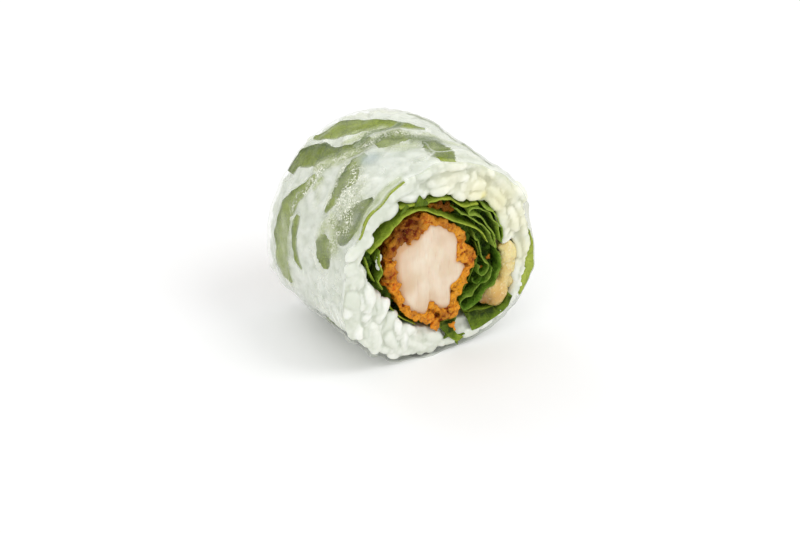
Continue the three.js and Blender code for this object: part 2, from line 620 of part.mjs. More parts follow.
// Grains over one cut: a jittered grid, each grain kept where it clears the filling and the paper
function faceGrains(side, seed) {
  const random = seeded(seed);
  const spread = (amount) => amount * (2 * random() - 1);
  const room = roomInCut(side);
  const grains = [];
  let row = 0;
  for (let z = GRAIN_ROWS.lowest; z < HEIGHT; z += GRAIN_PITCH * GRAIN_ROWS.spacing) {
    row += 1;
    const shift = (row % 2) * GRAIN_PITCH * GRAIN_ROWS.shift;
    for (let x = -HALF_WIDTH + shift; x < HALF_WIDTH; x += GRAIN_PITCH) {
      const centre = new THREE.Vector2(x + spread(GRAIN_SPREAD.place), z + spread(GRAIN_SPREAD.place));
      const scale = 1 + spread(GRAIN_SPREAD.size);
      const lean = spread(GRAIN_SPREAD.lean);
      const proud = random() * GRAIN_SPREAD.proud;
      const turns = Array.from({ length: TURNS_TRIED }, () => random() * Math.PI);
      const reachOut = (GRAIN.length / 2) * scale * Math.cos(lean) * GRAIN_TIP;
      const tip = (angle, out) =>
        new THREE.Vector2(centre.x + out * Math.cos(angle), centre.y + out * Math.sin(angle));
      const tipRoom = (angle) => Math.min(room(tip(angle, -reachOut)), room(tip(angle, reachOut)));
      const turn = turns.find((angle) => tipRoom(angle) > GRAIN_ROOM.tip);
      if (turn === undefined || room(centre) < GRAIN_ROOM.centre) {
        continue;
      }
      const axis = new THREE.Vector3(
        Math.cos(turn) * Math.cos(lean), Math.sin(lean), Math.sin(turn) * Math.cos(lean));
      const rotation = new THREE.Quaternion().setFromUnitVectors(new THREE.Vector3(0, 0, 1), axis);
      const tipOut = (GRAIN.length / 2) * Math.sin(lean) * GRAIN_TIP;
      const outward = scale * Math.hypot(tipOut, (GRAIN.width / 2) * Math.cos(lean));
      const middle = new THREE.Vector3(centre.x, side * (LENGTH / 2 - proud - outward), centre.y);
      const matrix = new THREE.Matrix4().compose(
        middle, rotation, new THREE.Vector3(scale, scale, scale));
      grains.push(grainGeometry(matrix, GRAIN));
    }
  }
  return grains;
}

// The space inside the paper down to a depth, its flat ends this far from the middle
function ricePrism(depth, end) {
  const places = [-end, -CORE_END, ...STATIONS.slice(1, -1), CORE_END, end];
  return loft(places.map((y) => coreAngles().map((angle) => place(sectionInside(angle, depth), y))));
}

function rice() {
  const hole = alongCurve(HOLE_OUTLINE, HOLE_STEPS, true);
  const pocket = loft(STATIONS.map((y) => hole.map((point) => placeFilling(point, y))));
  const core = ricePrism(RICE_DEPTH, CORE_END + CORE_OVERLAP);
  const shell = ricePrism(RICE_DEPTH - SHELL_OVER, STATIONS.at(-1));
  const grains = [...faceGrains(-1, 5), ...faceGrains(1, 23)].map(toManifold);
  const heap = wasm.Manifold.union([toManifold(core), ...grains]);
  const fitted = heap.intersect(toManifold(shell)).subtract(toManifold(pocket));
  const pieces = fitted.decompose().sort((a, b) => b.volume() - a.volume());
  return fromManifold(pieces[0]);
}

function finish(colour, roughness) {
  return new THREE.MeshStandardMaterial({ color: colour, roughness, metalness: 0 });
}

const paperFinish = finish(0xe4e8df, 0.25);
const riceFinish = finish(0xf0f1ea, 0.4);
const chickenFinish = finish(0xe0a468, 0.75);
const leafFinish = finish(0x5f8a2a, 0.5);
const lettuceFinish = finish(0x4f8030, 0.45);
const dressingFinish = finish(0xe6d79a, 0.2);

const group = new THREE.Group();

function add(name, geometry, material) {
  const mesh = new THREE.Mesh(geometry, material);
  mesh.name = name;
  group.add(mesh);
}

add('rice_paper', ricePaper(), paperFinish);
add('rice', rice(), riceFinish);
add('breaded_chicken', breadedChicken(), chickenFinish);
add('dressing', dressing(), dressingFinish);
for (const [name, leaf] of Object.entries(FILLING_LEAVES)) {
  add(name, ribbon(leaf), name.startsWith('lettuce') ? lettuceFinish : leafFinish);
}
PAPER_LEAVES.forEach((spine, i) => {
  const number = String(i + 1).padStart(2, '0');
  add(`leaf_outer_${number}`, paperLeaf(spine), leafFinish);
});

export default group;
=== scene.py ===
"""A cut piece of fresh spring roll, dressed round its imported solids.

Numbers are millimetres unless a name says otherwise; a mesh is scaled to metres when it is made.
Y runs along the roll with the shown cut at -Y, X goes across it and Z is up. Angles go round the
roll from +X, counter-clockwise as seen from the shown cut.
"""
import itertools
import math

import bmesh
import bpy
import numpy as np
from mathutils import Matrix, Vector
from mathutils.bvhtree import BVHTree
from mathutils.kdtree import KDTree


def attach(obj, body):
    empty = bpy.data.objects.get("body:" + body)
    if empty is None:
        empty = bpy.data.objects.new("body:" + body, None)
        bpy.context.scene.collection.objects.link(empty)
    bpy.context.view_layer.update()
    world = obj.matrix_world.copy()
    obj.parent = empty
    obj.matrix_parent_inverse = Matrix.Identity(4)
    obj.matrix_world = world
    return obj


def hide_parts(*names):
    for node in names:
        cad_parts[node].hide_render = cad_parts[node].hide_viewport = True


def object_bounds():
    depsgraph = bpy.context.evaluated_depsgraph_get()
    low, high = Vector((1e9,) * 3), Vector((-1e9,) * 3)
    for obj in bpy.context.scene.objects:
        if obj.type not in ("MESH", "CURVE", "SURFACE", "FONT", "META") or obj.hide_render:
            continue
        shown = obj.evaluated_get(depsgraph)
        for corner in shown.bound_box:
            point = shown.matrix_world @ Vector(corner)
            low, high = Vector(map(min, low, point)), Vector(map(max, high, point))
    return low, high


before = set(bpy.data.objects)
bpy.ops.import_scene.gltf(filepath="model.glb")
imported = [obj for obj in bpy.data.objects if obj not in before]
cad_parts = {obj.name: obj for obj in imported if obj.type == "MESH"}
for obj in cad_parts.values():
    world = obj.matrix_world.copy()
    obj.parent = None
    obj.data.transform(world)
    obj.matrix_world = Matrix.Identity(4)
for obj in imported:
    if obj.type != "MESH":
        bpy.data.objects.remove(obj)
cad_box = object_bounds()

MM = 0.001
TURN = 2 * math.pi

# The camera, fitted to the photograph
CAMERA_AT = (-306.09, -487.49, 332.34)
CAMERA_AIM = (-0.713, -2.497, 14.407)
CAMERA_LENS = 135
CAMERA_SENSOR = 36

# The roll's section and the layers of its wrapping, as in the solids
HALF_WIDTH = 25
HEIGHT = 47.6
WIDEST_Z = 18.9
SAG_POWER = 2.29
SETTLE = 0.3
LENGTH = 37
# No piece reaches past the solids' own box, and each kind stops a little short of its ends
REACH_LIMITS = np.array(cad_box) / MM + np.array([[0.05], [-0.05]]) * (1, 1, 0)
OUTERMOST = {"leaf": 18.42, "film": 18.45, "meat": 18.4, "crust": 18.42, "crumb": 18.5}
REAR = {"from": 4, "reach": 14.5, "shrink": 0.1}
FRONT = {"from": -12, "reach": 6.5, "shrink": 0.02}
CORE_END = 16.7
GRAIN = (3.1, 2.6, 6.6)  # across, through and along a grain

FILLING_CENTRE = np.array([-1.0, 21.0])
FILLING_TURN = math.radians(6)
FILLING_DRIFT = np.array([0.3, 0.3])
STATIONS = np.array([-19.0, -9.0, 0.0, 9.0, 19.0])

CURVE_STEPS = 24  # on each span of a smooth curve
OUTLINE_STEPS = 400
BODY_SIDES = 200  # round the meat and the bunched lettuce


# Numbers and noise

def smooth(value, low, high):
    """0 below low, 1 above high, and a smooth step between."""
    share = np.clip((np.asarray(value, float) - low) / (high - low), 0, 1)
    return share * share * (3 - 2 * share)


def bell(distance, reach):
    """1 at no distance, falling off smoothly within about the reach."""
    return np.exp(-((np.asarray(distance) / reach) ** 2))


def xyz(x, y, z):
    """Points from three coordinates, each a number or an array, brought to one shape."""
    return np.stack(np.broadcast_arrays(x, y, z), -1)


def lattice(cells, seed):
    """A repeatable number between -1 and 1 for each whole-numbered cell."""
    mask = 0xFFFFFFFF
    x, y, z = (cells[..., axis].astype(np.int64) for axis in range(3))
    mixed = (x * 374761393 + y * 668265263 + z * 1440662683 + seed * 1274126177) & mask
    mixed = ((mixed ^ (mixed >> 13)) * 1274126177) & mask
    return ((mixed ^ (mixed >> 16)) & 0xFFFF) / 32767.5 - 1


def lumps(points, size, seed=0):
    """Smooth noise between -1 and 1, with lumps of about the given size (a number or one per axis)."""
    places = np.asarray(points, float) / size
    cells = np.floor(places)
    share = places - cells
    share = share * share * (3 - 2 * share)
    total = np.zeros(places.shape[:-1])
    for corner in np.ndindex(2, 2, 2):
        weight = np.prod(np.where(corner, share, 1 - share), axis=-1)
        total += weight * lattice(cells + corner, seed)
    return total


def layered(points, size, octaves, seed=0):
    """Several layers of lumps, each half the size and half the height of the one before."""
    return sum(lumps(points, np.asarray(size) / 2**i, seed + i) / 2**i for i in range(octaves))


# The roll's form

def section_point(angle):
    """The roll's outline at an angle round it, as x and z."""
    across, up = np.cos(angle), np.sin(angle)
    power = 2 / SAG_POWER
    low_x = HALF_WIDTH * np.sign(across) * np.abs(across) ** power
    low_z = np.maximum(0, WIDEST_Z - (WIDEST_Z + SETTLE) * np.abs(up) ** power)
    above = up >= 0
    x = np.where(above, HALF_WIDTH * across, low_x)
    z = np.where(above, WIDEST_Z + (HEIGHT - WIDEST_Z) * up, low_z)
    return np.stack([x, z], -1)


def section_inward(angle):
    """The direction from the outline straight into the roll."""
    step = 0.02
    along = section_point(angle + step) - section_point(angle - step)
    along /= np.linalg.norm(along, axis=-1, keepdims=True)
    return np.stack([-along[..., 1], along[..., 0]], -1)


def section_inside(angle, depth):
    return section_point(angle) + section_inward(angle) * np.asarray(depth)[..., None]


def taper(y):
    """How much the section has shrunk towards the resting line at a place along the roll."""
    rear = np.maximum(0, (np.asarray(y, float) - REAR["from"]) / REAR["reach"])
    front = np.maximum(0, (FRONT["from"] - np.asarray(y, float)) / FRONT["reach"])
    return 1 - REAR["shrink"] * rear**2 - FRONT["shrink"] * front**2


def place(flat, y):
    """A point of the section set at y, as x, y, z."""
    size = taper(y)
    return xyz(flat[..., 0] * size, y, flat[..., 1] * size)


def place_filling(flat, y):
    """A point of the filling, given where it lies in the shown cut, carried back along the roll."""
    back = np.interp(y, STATIONS, smooth(STATIONS, STATIONS[0], STATIONS[-1]))
    turn = FILLING_TURN * back
    rel = flat - FILLING_CENTRE
    x, z = rel[..., 0], rel[..., 1]
    turned = np.stack([x * np.cos(turn) - z * np.sin(turn), x * np.sin(turn) + z * np.cos(turn)], -1)
    return place(turned + FILLING_CENTRE + FILLING_DRIFT * np.asarray(back)[..., None], y)


def along_curve(knots, count, closed=False):
    """Even points on a smooth (centripetal) curve through knots of any dimension."""
    knots = np.asarray(knots, float)
    if closed:
        padded = np.vstack([knots[-1], knots, knots[:2]])
    else:
        padded = np.vstack([2 * knots[0] - knots[1], knots, 2 * knots[-1] - knots[-2]])
    pieces = []
    share = np.linspace(0, 1, CURVE_STEPS + 1)[:-1, None]
    for before, start, end, after in zip(padded, padded[1:], padded[2:], padded[3:]):
        spans = ((before, start), (start, end), (end, after))
        gaps = [max(np.linalg.norm(b - a), 1e-6) ** 0.5 for a, b in spans]
        out = (start - before) / gaps[0] - (end - before) / (gaps[0] + gaps[1]) + (end - start) / gaps[1]
        into = (end - start) / gaps[1] - (after - start) / (gaps[1] + gaps[2]) + (after - end) / gaps[2]
        out, into = out * gaps[1], into * gaps[1]
        cubic = 2 * start - 2 * end + out + into
        square = -3 * start + 3 * end - 2 * out - into
        pieces.append(start + out * share + square * share**2 + cubic * share**3)
    line = np.vstack([*pieces, knots[:1] if closed else knots[-1:]])
    run = np.concatenate([[0], np.cumsum(np.linalg.norm(np.diff(line, axis=0), axis=1))])
    wanted = np.linspace(0, run[-1], count, endpoint=not closed)
    return np.stack([np.interp(wanted, run, line[:, axis]) for axis in range(line.shape[1])], -1)


def sideways(line):
    """The direction to the left of a flat line at each of its points."""
    along = np.gradient(line, axis=0)
    along /= np.linalg.norm(along, axis=1, keepdims=True)
    return np.stack([-along[:, 1], along[:, 0]], -1)


def signed_distance(points, outline):
    """How far points lie inside a closed outline, negative outside."""
    ends = np.roll(outline, -1, 0)
    along = ends - outline
    gap = points[:, None] - outline
    share = np.clip((gap * along).sum(-1) / (along**2).sum(-1), 0, 1)
    distance = np.linalg.norm(gap - share[..., None] * along, axis=-1).min(1)
    x, z = points[:, None, 0], points[:, None, 1]
    straddles = (outline[:, 1] > z) != (ends[:, 1] > z)
    rise = np.where(straddles, ends[:, 1] - outline[:, 1], 1)
    crossing = outline[:, 0] + along[:, 0] * (z - outline[:, 1]) / rise
    inside = (straddles & (x < crossing)).sum(1) % 2 == 1
    return np.where(inside, distance, -distance)


def round_angles(sides):
    """Even angles round a ring, and the direction of each."""
    angles = np.arange(sides) * TURN / sides
    return angles, np.stack([np.cos(angles), np.sin(angles)], -1)


def polar_reach(knots, centre, angles, steps=OUTLINE_STEPS):
    """How far the closed curve through knots reaches from a centre in each direction."""
    starts = along_curve(knots, steps, True) - centre
    ends = np.roll(starts, -1, 0)
    aim = np.stack([np.cos(angles), np.sin(angles)], -1)[:, None]
    side_a = aim[..., 0] * starts[:, 1] - aim[..., 1] * starts[:, 0]
    side_b = aim[..., 0] * ends[:, 1] - aim[..., 1] * ends[:, 0]
    crossed = side_a * side_b <= 0
    share = side_a / np.where(np.abs(side_a - side_b) < 1e-12, 1, side_a - side_b)
    hit = starts + (ends - starts) * share[..., None]
    return np.where(crossed, (hit * aim).sum(-1), 0).max(1)


# Meshes

def grid_faces(rows, columns, wrap_rows=False, wrap_columns=False):
    """Quads between neighbouring points of a grid kept row by row."""
    j = np.arange(rows if wrap_rows else rows - 1)[:, None]
    i = np.arange(columns if wrap_columns else columns - 1)[None, :]
    cell = lambda row, column: (row % rows) * columns + column % columns
    corners = [cell(j, i), cell(j, i + 1), cell(j + 1, i + 1), cell(j + 1, i)]
    return np.stack(np.broadcast_arrays(*corners), -1).reshape(-1, 4).tolist()


def shifted(faces, start):
    """Faces with their point numbers raised by start."""
    return [[corner + start for corner in face] for face in faces]


def capped_tube(rings):
    """A tube through closed rings of points, each end closed by one flat face."""
    count, sides = len(rings), len(rings[0])
    faces = grid_faces(count, sides, wrap_columns=True)
    faces.append(list(range(sides)))
    faces.append(list(range((count - 1) * sides, count * sides))[::-1])
    return np.array(rings).reshape(-1, 3), faces


def ball_template(segments, levels, profile):
    """A round body along Z, one unit from middle to tip, with profile as its radius at each height."""
    around, aim = round_angles(segments)
    heights = np.cos(np.linspace(0, math.pi, levels + 2))[1:-1, None]
    rings = xyz(profile(heights) * aim[:, 0], profile(heights) * aim[:, 1], heights)
    points = np.concatenate([rings.reshape(-1, 3), [[0, 0, 1], [0, 0, -1]]])
    faces = grid_faces(levels, segments, wrap_columns=True)
    top, bottom = len(points) - 2, len(points) - 1
    last = (levels - 1) * segments
    for i in range(segments):
        following = (i + 1) % segments
        faces += [[top, following, i], [bottom, last + i, last + following]]
    return points, faces


def sheet(rows, half):
    """A thin closed solid on both sides of a middle surface, given as rows of points."""
    normal = np.cross(np.gradient(rows, axis=1), np.gradient(rows, axis=0))
    normal /= np.maximum(np.linalg.norm(normal, axis=-1, keepdims=True), 1e-9)
    offset = normal * np.asarray(half)[..., None]
    count, wide = rows.shape[:2]
    points = np.concatenate([(rows + offset).reshape(-1, 3), (rows - offset).reshape(-1, 3)])
    top = np.array(grid_faces(count, wide))
    total = count * wide
    index = np.arange(total).reshape(count, wide)
    rim = np.concatenate([index[0, :-1], index[:-1, -1], index[-1, :0:-1], index[:0:-1, 0]])
    following = np.roll(rim, -1)
    side = np.stack([following, rim, rim + total, following + total], -1)
    return points, np.concatenate([top, top[:, ::-1] + total, side]).tolist()


def within_reach(points):
    """Points kept between the two cuts and above the resting face."""
    return np.clip(np.array(points, float).reshape(-1, 3), *REACH_LIMITS)


def turn_outwards(mesh):
    """Makes every closed shell of a mesh face out."""
    work = bmesh.new()
    work.from_mesh(mesh)
    bmesh.ops.recalc_face_normals(work, faces=work.faces)
    work.to_mesh(mesh)
    work.free()


def add_value(mesh, name, numbers):
    """Keeps a number, or a colour, on each point of a mesh."""
    numbers = np.asarray(numbers, float)
    kind, field = ("FLOAT_COLOR", "color") if numbers.ndim == 2 else ("FLOAT", "value")
    mesh.attributes.new(name, kind, "POINT").data.foreach_set(field, numbers.ravel())


def make_piece(name, points, faces, material, slot, stands_for, values=None):
    """A mesh piece in metres that rides on the roll, with named values kept on its points."""
    mesh = bpy.data.meshes.new(name)
    mesh.from_pydata((within_reach(points) * MM).tolist(), [], faces)
    for key, numbers in (values or {}).items():
        add_value(mesh, key, numbers)
    turn_outwards(mesh)
    mesh.shade_smooth()
    mesh.materials.append(material)
    piece = bpy.data.objects.new(name, mesh)
    bpy.context.scene.collection.objects.link(piece)
    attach(piece, "root")
    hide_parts(*stands_for)
    return piece


def point_numbers(piece, field):
    numbers = np.empty(len(piece.data.vertices) * 3)
    piece.data.vertices.foreach_get(field, numbers)
    return numbers.reshape(-1, 3)


def piece_points(piece):
    """A piece's own points, in millimetres."""
    return point_numbers(piece, "co") / MM


def move_points(piece, points):
    """Puts a piece's points in new places, in millimetres, inside the roll's reach."""
    piece.data.vertices.foreach_set("co", (within_reach(points) * MM).ravel())
    piece.data.update()


def sink(piece, depth):
    """Moves a piece's points in along their normals."""
    move_points(piece, piece_points(piece) - point_numbers(piece, "normal") * depth[:, None])


def fuse(piece, voxel, relaxing=0):
    """Makes one skin of all the shells in a piece, and keeps it as the piece's own mesh."""
    remesh = piece.modifiers.new("fused", "REMESH")
    remesh.mode = "VOXEL"
    remesh.voxel_size = voxel * MM
    remesh.use_smooth_shade = True
    if relaxing:
        piece.modifiers.new("relaxed", "SMOOTH").iterations = relaxing
    graph = bpy.context.evaluated_depsgraph_get()
    made = bpy.data.meshes.new_from_object(piece.evaluated_get(graph))
    piece.modifiers.clear()
    old = piece.data
    piece.data = made
    bpy.data.meshes.remove(old)
    move_points(piece, piece_points(piece))


def hollows(piece, passes):
    """How far each point lies in a hollow (positive) or on a crest (negative), in millimetres."""
    points = piece_points(piece)
    pairs = np.empty(len(piece.data.edges) * 2, int)
    piece.data.edges.foreach_get("vertices", pairs)
    pairs = pairs.reshape(-1, 2)
    links = np.bincount(pairs.ravel(), minlength=len(points))[:, None]
    gather = lambda own, other, numbers: np.bincount(pairs[:, own], numbers[pairs[:, other]], len(points))
    blurred = points
    for _ in range(passes):
        total = [gather(0, 1, numbers) + gather(1, 0, numbers) for numbers in blurred.T]
        blurred = np.stack(total, -1) / np.maximum(links, 1)
    return ((blurred - points) * point_numbers(piece, "normal")).sum(1)


# Materials

def colour(red, green, blue):
    """A screen colour, 0 to 255, as the linear values that shaders take."""
    screen = np.array([red, green, blue]) / 255
    linear = np.where(screen <= 0.04045, screen / 12.92, ((screen + 0.055) / 1.055) ** 2.4)
    return (*linear.tolist(), 1.0)


class Finish:
    """A node material on the object's own coordinates; sizes are millimetres, tones screen colours."""

    def __init__(self, name, **sockets):
        """Sockets are constant shader values; an underscore in a name stands for a space."""
        self.material = bpy.data.materials.new(name)
        self.material.use_nodes = True
        self.tree = self.material.node_tree
        self.shader = self.tree.nodes["Principled BSDF"]
        self.place = self.node("TexCoord").outputs["Object"]
        for socket, value in sockets.items():
            self.shader.inputs[socket.replace("_", " ")].default_value = value

    def link(self, source, socket):
        self.tree.links.new(source, self.shader.inputs[socket])

    def node(self, kind, inputs=None, **settings):
        node = self.tree.nodes.new("ShaderNode" + kind)
        for key, value in settings.items():
            setattr(node, key, value)
        for key, value in (inputs or {}).items():
            if isinstance(value, bpy.types.NodeSocket):
                self.tree.links.new(value, node.inputs[key])
            else:
                node.inputs[key].default_value = value
        return node

    def noise(self, size, detail=3, roughness=0.55, stretch=None):
        place = self.place
        if stretch:
            place = self.node("Mapping", {"Vector": place, "Scale": stretch}).outputs[0]
        inputs = {"Vector": place, "Scale": 1 / (size * MM), "Detail": detail, "Roughness": roughness}
        return self.node("TexNoise", inputs).outputs["Fac"]

    def cells(self, size, **settings):
        return self.node("TexVoronoi", {"Vector": self.place, "Scale": 1 / (size * MM)}, **settings)

    def cell_shade(self, size, **settings):
        """One random number for each cell of the given size."""
        return self.node("SeparateColor", {0: self.cells(size, **settings).outputs["Color"]}).outputs[0]

    def value(self, name):
        return self.node("Attribute", attribute_name=name).outputs["Fac"]

    def range(self, source, low, high, out_low=0.0, out_high=1.0):
        return self.node("MapRange", {0: source, 1: low, 2: high, 3: out_low, 4: out_high}).outputs[0]

    def math(self, operation, first, second, clamp=False):
        return self.node("Math", {0: first, 1: second}, operation=operation, use_clamp=clamp).outputs[0]

    def times(self, first, second):
        return self.math("MULTIPLY", first, second)

    def mix(self, share, first, second):
        first, second = (colour(*tone) if isinstance(tone, tuple) else tone for tone in (first, second))
        return self.node("Mix", {0: share, 6: first, 7: second}, data_type="RGBA").outputs[2]

    def ramp(self, source, *stops):
        node = self.node("ValToRGB", {0: source})
        elements = node.color_ramp.elements
        while len(elements) < len(stops):
            elements.new(1)
        for element, (position, tone) in zip(elements, stops):
            element.position = position
            element.color = colour(*tone)
        return node.outputs[0]

    def bump(self, height, depth, strength=1.0, normal=None):
        inputs = {"Height": height, "Distance": depth * MM, "Strength": strength}
        if normal is not None:
            inputs["Normal"] = normal
        return self.node("Bump", inputs).outputs[0]

    def blend(self, share, other):
        """Mixes another shader into the surface."""
        both = self.node("MixShader", {0: share, 1: self.shader.outputs[0], 2: other.outputs[0]})
        self.tree.links.new(both.outputs[0], self.tree.nodes["Material Output"].inputs["Surface"])

    def finished(self, tone, normal=None):
        """The material, with its colour and relief."""
        self.link(tone, "Base Color")
        if normal is not None:
            self.link(normal, "Normal")
        return self.material


def rice_finish():
    finish = Finish(
        "rice_grain", Roughness=0.34, Subsurface_Weight=0.4, Subsurface_Radius=(1.0, 0.95, 0.85),
        Subsurface_Scale=1.6 * MM, Specular_IOR_Level=0.45, Coat_Weight=0.12, Coat_Roughness=0.2)
    stain = finish.value("stain")
    tone = finish.mix(finish.range(finish.noise(2.2, 2), 0.35, 0.65), (232, 235, 224), (247, 248, 241))
    # shade: each grain's own random tone, and painted shade where a lump lies in the shade of the paper
    tone = finish.mix(finish.value("shade"), tone, (206, 213, 195))
    tone = finish.mix(stain, tone, (238, 230, 160))
    # Painted shade in the creases and dips between grains, yellower where the dressing stained them
    deep = finish.mix(stain, (204, 210, 192), (208, 194, 116))
    tone = finish.mix(finish.times(finish.value("crease_shade"), 0.8), tone, deep)
    return finish.finished(tone, finish.bump(finish.noise(0.9), 0.05, 0.5))


def film_finish():
    """Moist rice paper: milky off its filling, clear on the leaves, frosted by fine bubbles, with painted
    glints and painted grey shade.
    """
    finish = Finish("rice_film", Specular_IOR_Level=0.5)
    milk, green, grey_shade, fold = (finish.value(name) for name in ("milk", "green", "grey_shade", "fold"))
    patchy = finish.range(finish.noise(1.7, 3, 0.6), 0.34, 0.54)
    frosted = finish.times(patchy, finish.value("frost_and_glints"))
    bubbles = finish.cell_shade(0.25)
    # Painted glints on the frosted bands: near-white specks standing for light sparkling on the paper,
    # together with the white of fine bubbles
    painted_glint_specks = finish.times(finish.range(bubbles, 0.52, 0.68), frosted)
    dark = finish.times(finish.range(bubbles, 0.36, 0.26), frosted)
    dark = finish.times(dark, finish.range(green, 0.1, 0.6, 0.3, 1))
    fold = finish.times(finish.range(fold, 0, 0.65), finish.range(bubbles, 0.1, 0.5, 1, 0.88))
    cloud = finish.range(finish.noise(3.2), 0.3, 0.7, -0.05, 0.05)
    body = finish.math("ADD", milk, cloud, clamp=True)
    body = finish.math("ADD", body, finish.times(frosted, 0.1), clamp=True)
    for amount, share in ((green, 0.95), (grey_shade, 0.85), (fold, 0.98), (dark, 0.85), (painted_glint_specks, 0.95)):
        body = finish.math("MAXIMUM", body, finish.times(amount, share))
    finish.link(finish.times(body, finish.value("skin")), "Alpha")
    finish.link(finish.range(finish.noise(1.7), 0.3, 0.7, 0.2, 0.42), "Roughness")
    pale = finish.mix(finish.range(finish.noise(2.2), 0.35, 0.65), (168, 182, 122), (198, 206, 164))
    tone = finish.mix(milk, (224, 230, 216), (246, 248, 243))
    # Painted grey shade in patches on the film
    tone = finish.mix(grey_shade, tone, (158, 174, 170))
    tone = finish.mix(finish.range(green, 0.05, 0.45), tone, pale)
    tone = finish.mix(fold, tone, (92, 112, 42))
    tone = finish.mix(dark, tone, (116, 130, 72))
    # Painted glint specks, near white
    tone = finish.mix(painted_glint_specks, tone, (255, 255, 240))
    grit = finish.times(finish.noise(0.4, 2, 0.7), finish.value("frost_and_glints"))
    normal = finish.bump(grit, 0.25, 0.9, finish.bump(finish.noise(0.8), 0.05, 0.6))
    gloss = finish.node("BsdfGlossy", {"Color": (1, 1, 1, 1), "Roughness": 0.3, "Normal": normal})
    facing = finish.node("Fresnel", {"IOR": 1.33, "Normal": normal}).outputs[0]
    finish.blend(finish.times(finish.times(facing, 0.4), finish.value("skin")), gloss)
    return finish.finished(tone, normal)


def leaf_finish(name, dark, middle, lime, size=1.0, crumple=0.3, seen_through=0.3):
    """A leaf: darker inside, where its tone is painted down for shade, lime at its cut edges, with fine
    veins, and light that comes through it.
    """
    finish = Finish(name, Specular_IOR_Level=0.14, Roughness=0.42)
    mottle = finish.range(finish.noise(1.3 * size, 5, 0.65), 0.25, 0.75, -0.24, 0.24)
    tone = finish.math("ADD", finish.value("tone"), mottle, clamp=True)
    green = finish.ramp(tone, (0.0, dark), (0.45, middle), (1.0, lime))
    borders = finish.cells(2.4 * size, feature="DISTANCE_TO_EDGE").outputs["Distance"]
    veins = finish.range(borders, 0.0, 0.09, 1.0, 0.0)
    green = finish.mix(finish.times(veins, 0.13), green, lime)
    relief = finish.bump(veins, 0.2, 0.7)
    relief = finish.bump(finish.noise(2.2 * size), 1.0, crumple, relief)
    relief = finish.bump(finish.noise(0.9 * size, 4), 0.3, 0.7, relief)
    finish.blend(seen_through, finish.node("BsdfTranslucent", {"Color": green, "Normal": relief}))
    return finish.finished(green, relief)


def meat_finish():
    finish = Finish(
        "chicken_meat", Roughness=0.42, Subsurface_Weight=0.35, Subsurface_Radius=(1.2, 0.6, 0.4),
        Subsurface_Scale=1.0 * MM, Specular_IOR_Level=0.2)
    fibres = finish.noise(1.0, 4, 0.6, (1, 1, 0.22))
    lines = finish.noise(0.7, 4, 0.6, (1, 1, 0.12))
    tone = finish.mix(finish.range(finish.noise(5, 2), 0.35, 0.65), (226, 207, 179), (238, 224, 203))
    tone = finish.mix(finish.range(fibres, 0.4, 0.7, 0, 0.3), tone, (222, 190, 164))
    tone = finish.mix(finish.range(lines, 0.58, 0.68, 0, 0.35), tone, (206, 168, 140))
    # rim: browner towards the crust, and painted shade towards the left, top and bottom
    tone = finish.mix(finish.value("rim"), tone, (206, 166, 126))
    return finish.finished(tone, finish.bump(fibres, 0.25, 0.6))


def crust_finish():
    """Fried crumb in angular bits of several browns, with painted shade in its hollows, painted golden light
    on its crests and painted glints.
    """
    finish = Finish("chicken_crust", Roughness=0.3, Specular_IOR_Level=0.12)
    bits = finish.cell_shade(0.95, distance="MANHATTAN")
    clumps = finish.cell_shade(0.7, distance="MANHATTAN")
    hollow = finish.value("hollow")
    tone = finish.node("Attribute", attribute_name="fried").outputs["Color"]
    for amount, low, high, share_low, share_high, other in (
            (bits, 0.08, 0.32, 0.7, 0, (122, 38, 4)), (bits, 0.6, 0.85, 0, 0.65, (238, 158, 34)),
            (finish.noise(1.1, 5, 0.75), 0.51, 0.6, 0, 0.7, (126, 42, 8)),
            # Painted shade in the hollows (end of this line), and painted light on the crests (next line)
            (clumps, 0.68, 0.76, 0, 0.6, (248, 176, 54)), (hollow, 0.55, 1, 0, 0.6, (104, 34, 6)),
            (hollow, 0.05, 0.4, 0.45, 0, (246, 168, 48)),
            # Darkest crust, painted shade where it lies under the top leaf
            (finish.value("darkest_crust"), 0, 1, 0, 0.85, (92, 22, 6)),
            # Painted glints: golden highlights in small flecks
            (finish.noise(0.5, 3, 0.7), 0.63, 0.72, 0, 0.5, (252, 192, 84))):
        tone = finish.mix(finish.range(amount, low, high, share_low, share_high), tone, other)
    coarse = finish.bump(finish.cells(0.9).outputs["Distance"], 0.5, 0.8)
    return finish.finished(tone, finish.bump(finish.noise(0.4, 3, 0.65), 0.4, 1.0, coarse))


def dressing_finish():
    finish = Finish(
        "dressing_sauce", Roughness=0.25, Subsurface_Weight=0.4, Subsurface_Radius=(1.2, 0.9, 0.4),
        Subsurface_Scale=1.0 * MM, Coat_Weight=0.45, Coat_Roughness=0.08, Specular_IOR_Level=0.25)
    streaks = finish.noise(1.1, 3, 0.6, (1, 1, 0.35))
    tone = finish.mix(finish.range(finish.noise(3.5), 0.4, 0.65), (230, 214, 152), (216, 190, 114))
    tone = finish.mix(finish.value("tan"), tone, (212, 168, 88))
    # Painted shade on the lower left of the drop
    tone = finish.mix(finish.value("shade"), tone, (148, 100, 34))
    tone = finish.mix(finish.range(streaks, 0.58, 0.74, 0, 0.6), tone, (188, 136, 50))
    # Cream lumps, partly a painted highlight
    cream_and_highlight = finish.range(finish.noise(1.5, 3, 0.6), 0.56, 0.7, 0, 0.6)
    return finish.finished(
        finish.mix(cream_and_highlight, tone, (246, 236, 198)), finish.bump(finish.noise(1.8), 0.8, 0.9))


def floor_finish():
    finish = Finish("pale_floor", Roughness=0.6, Specular_IOR_Level=0.2)
    return finish.finished(finish.mix(finish.noise(60, 2), (250, 250, 250), (254, 254, 254)))


# Rice

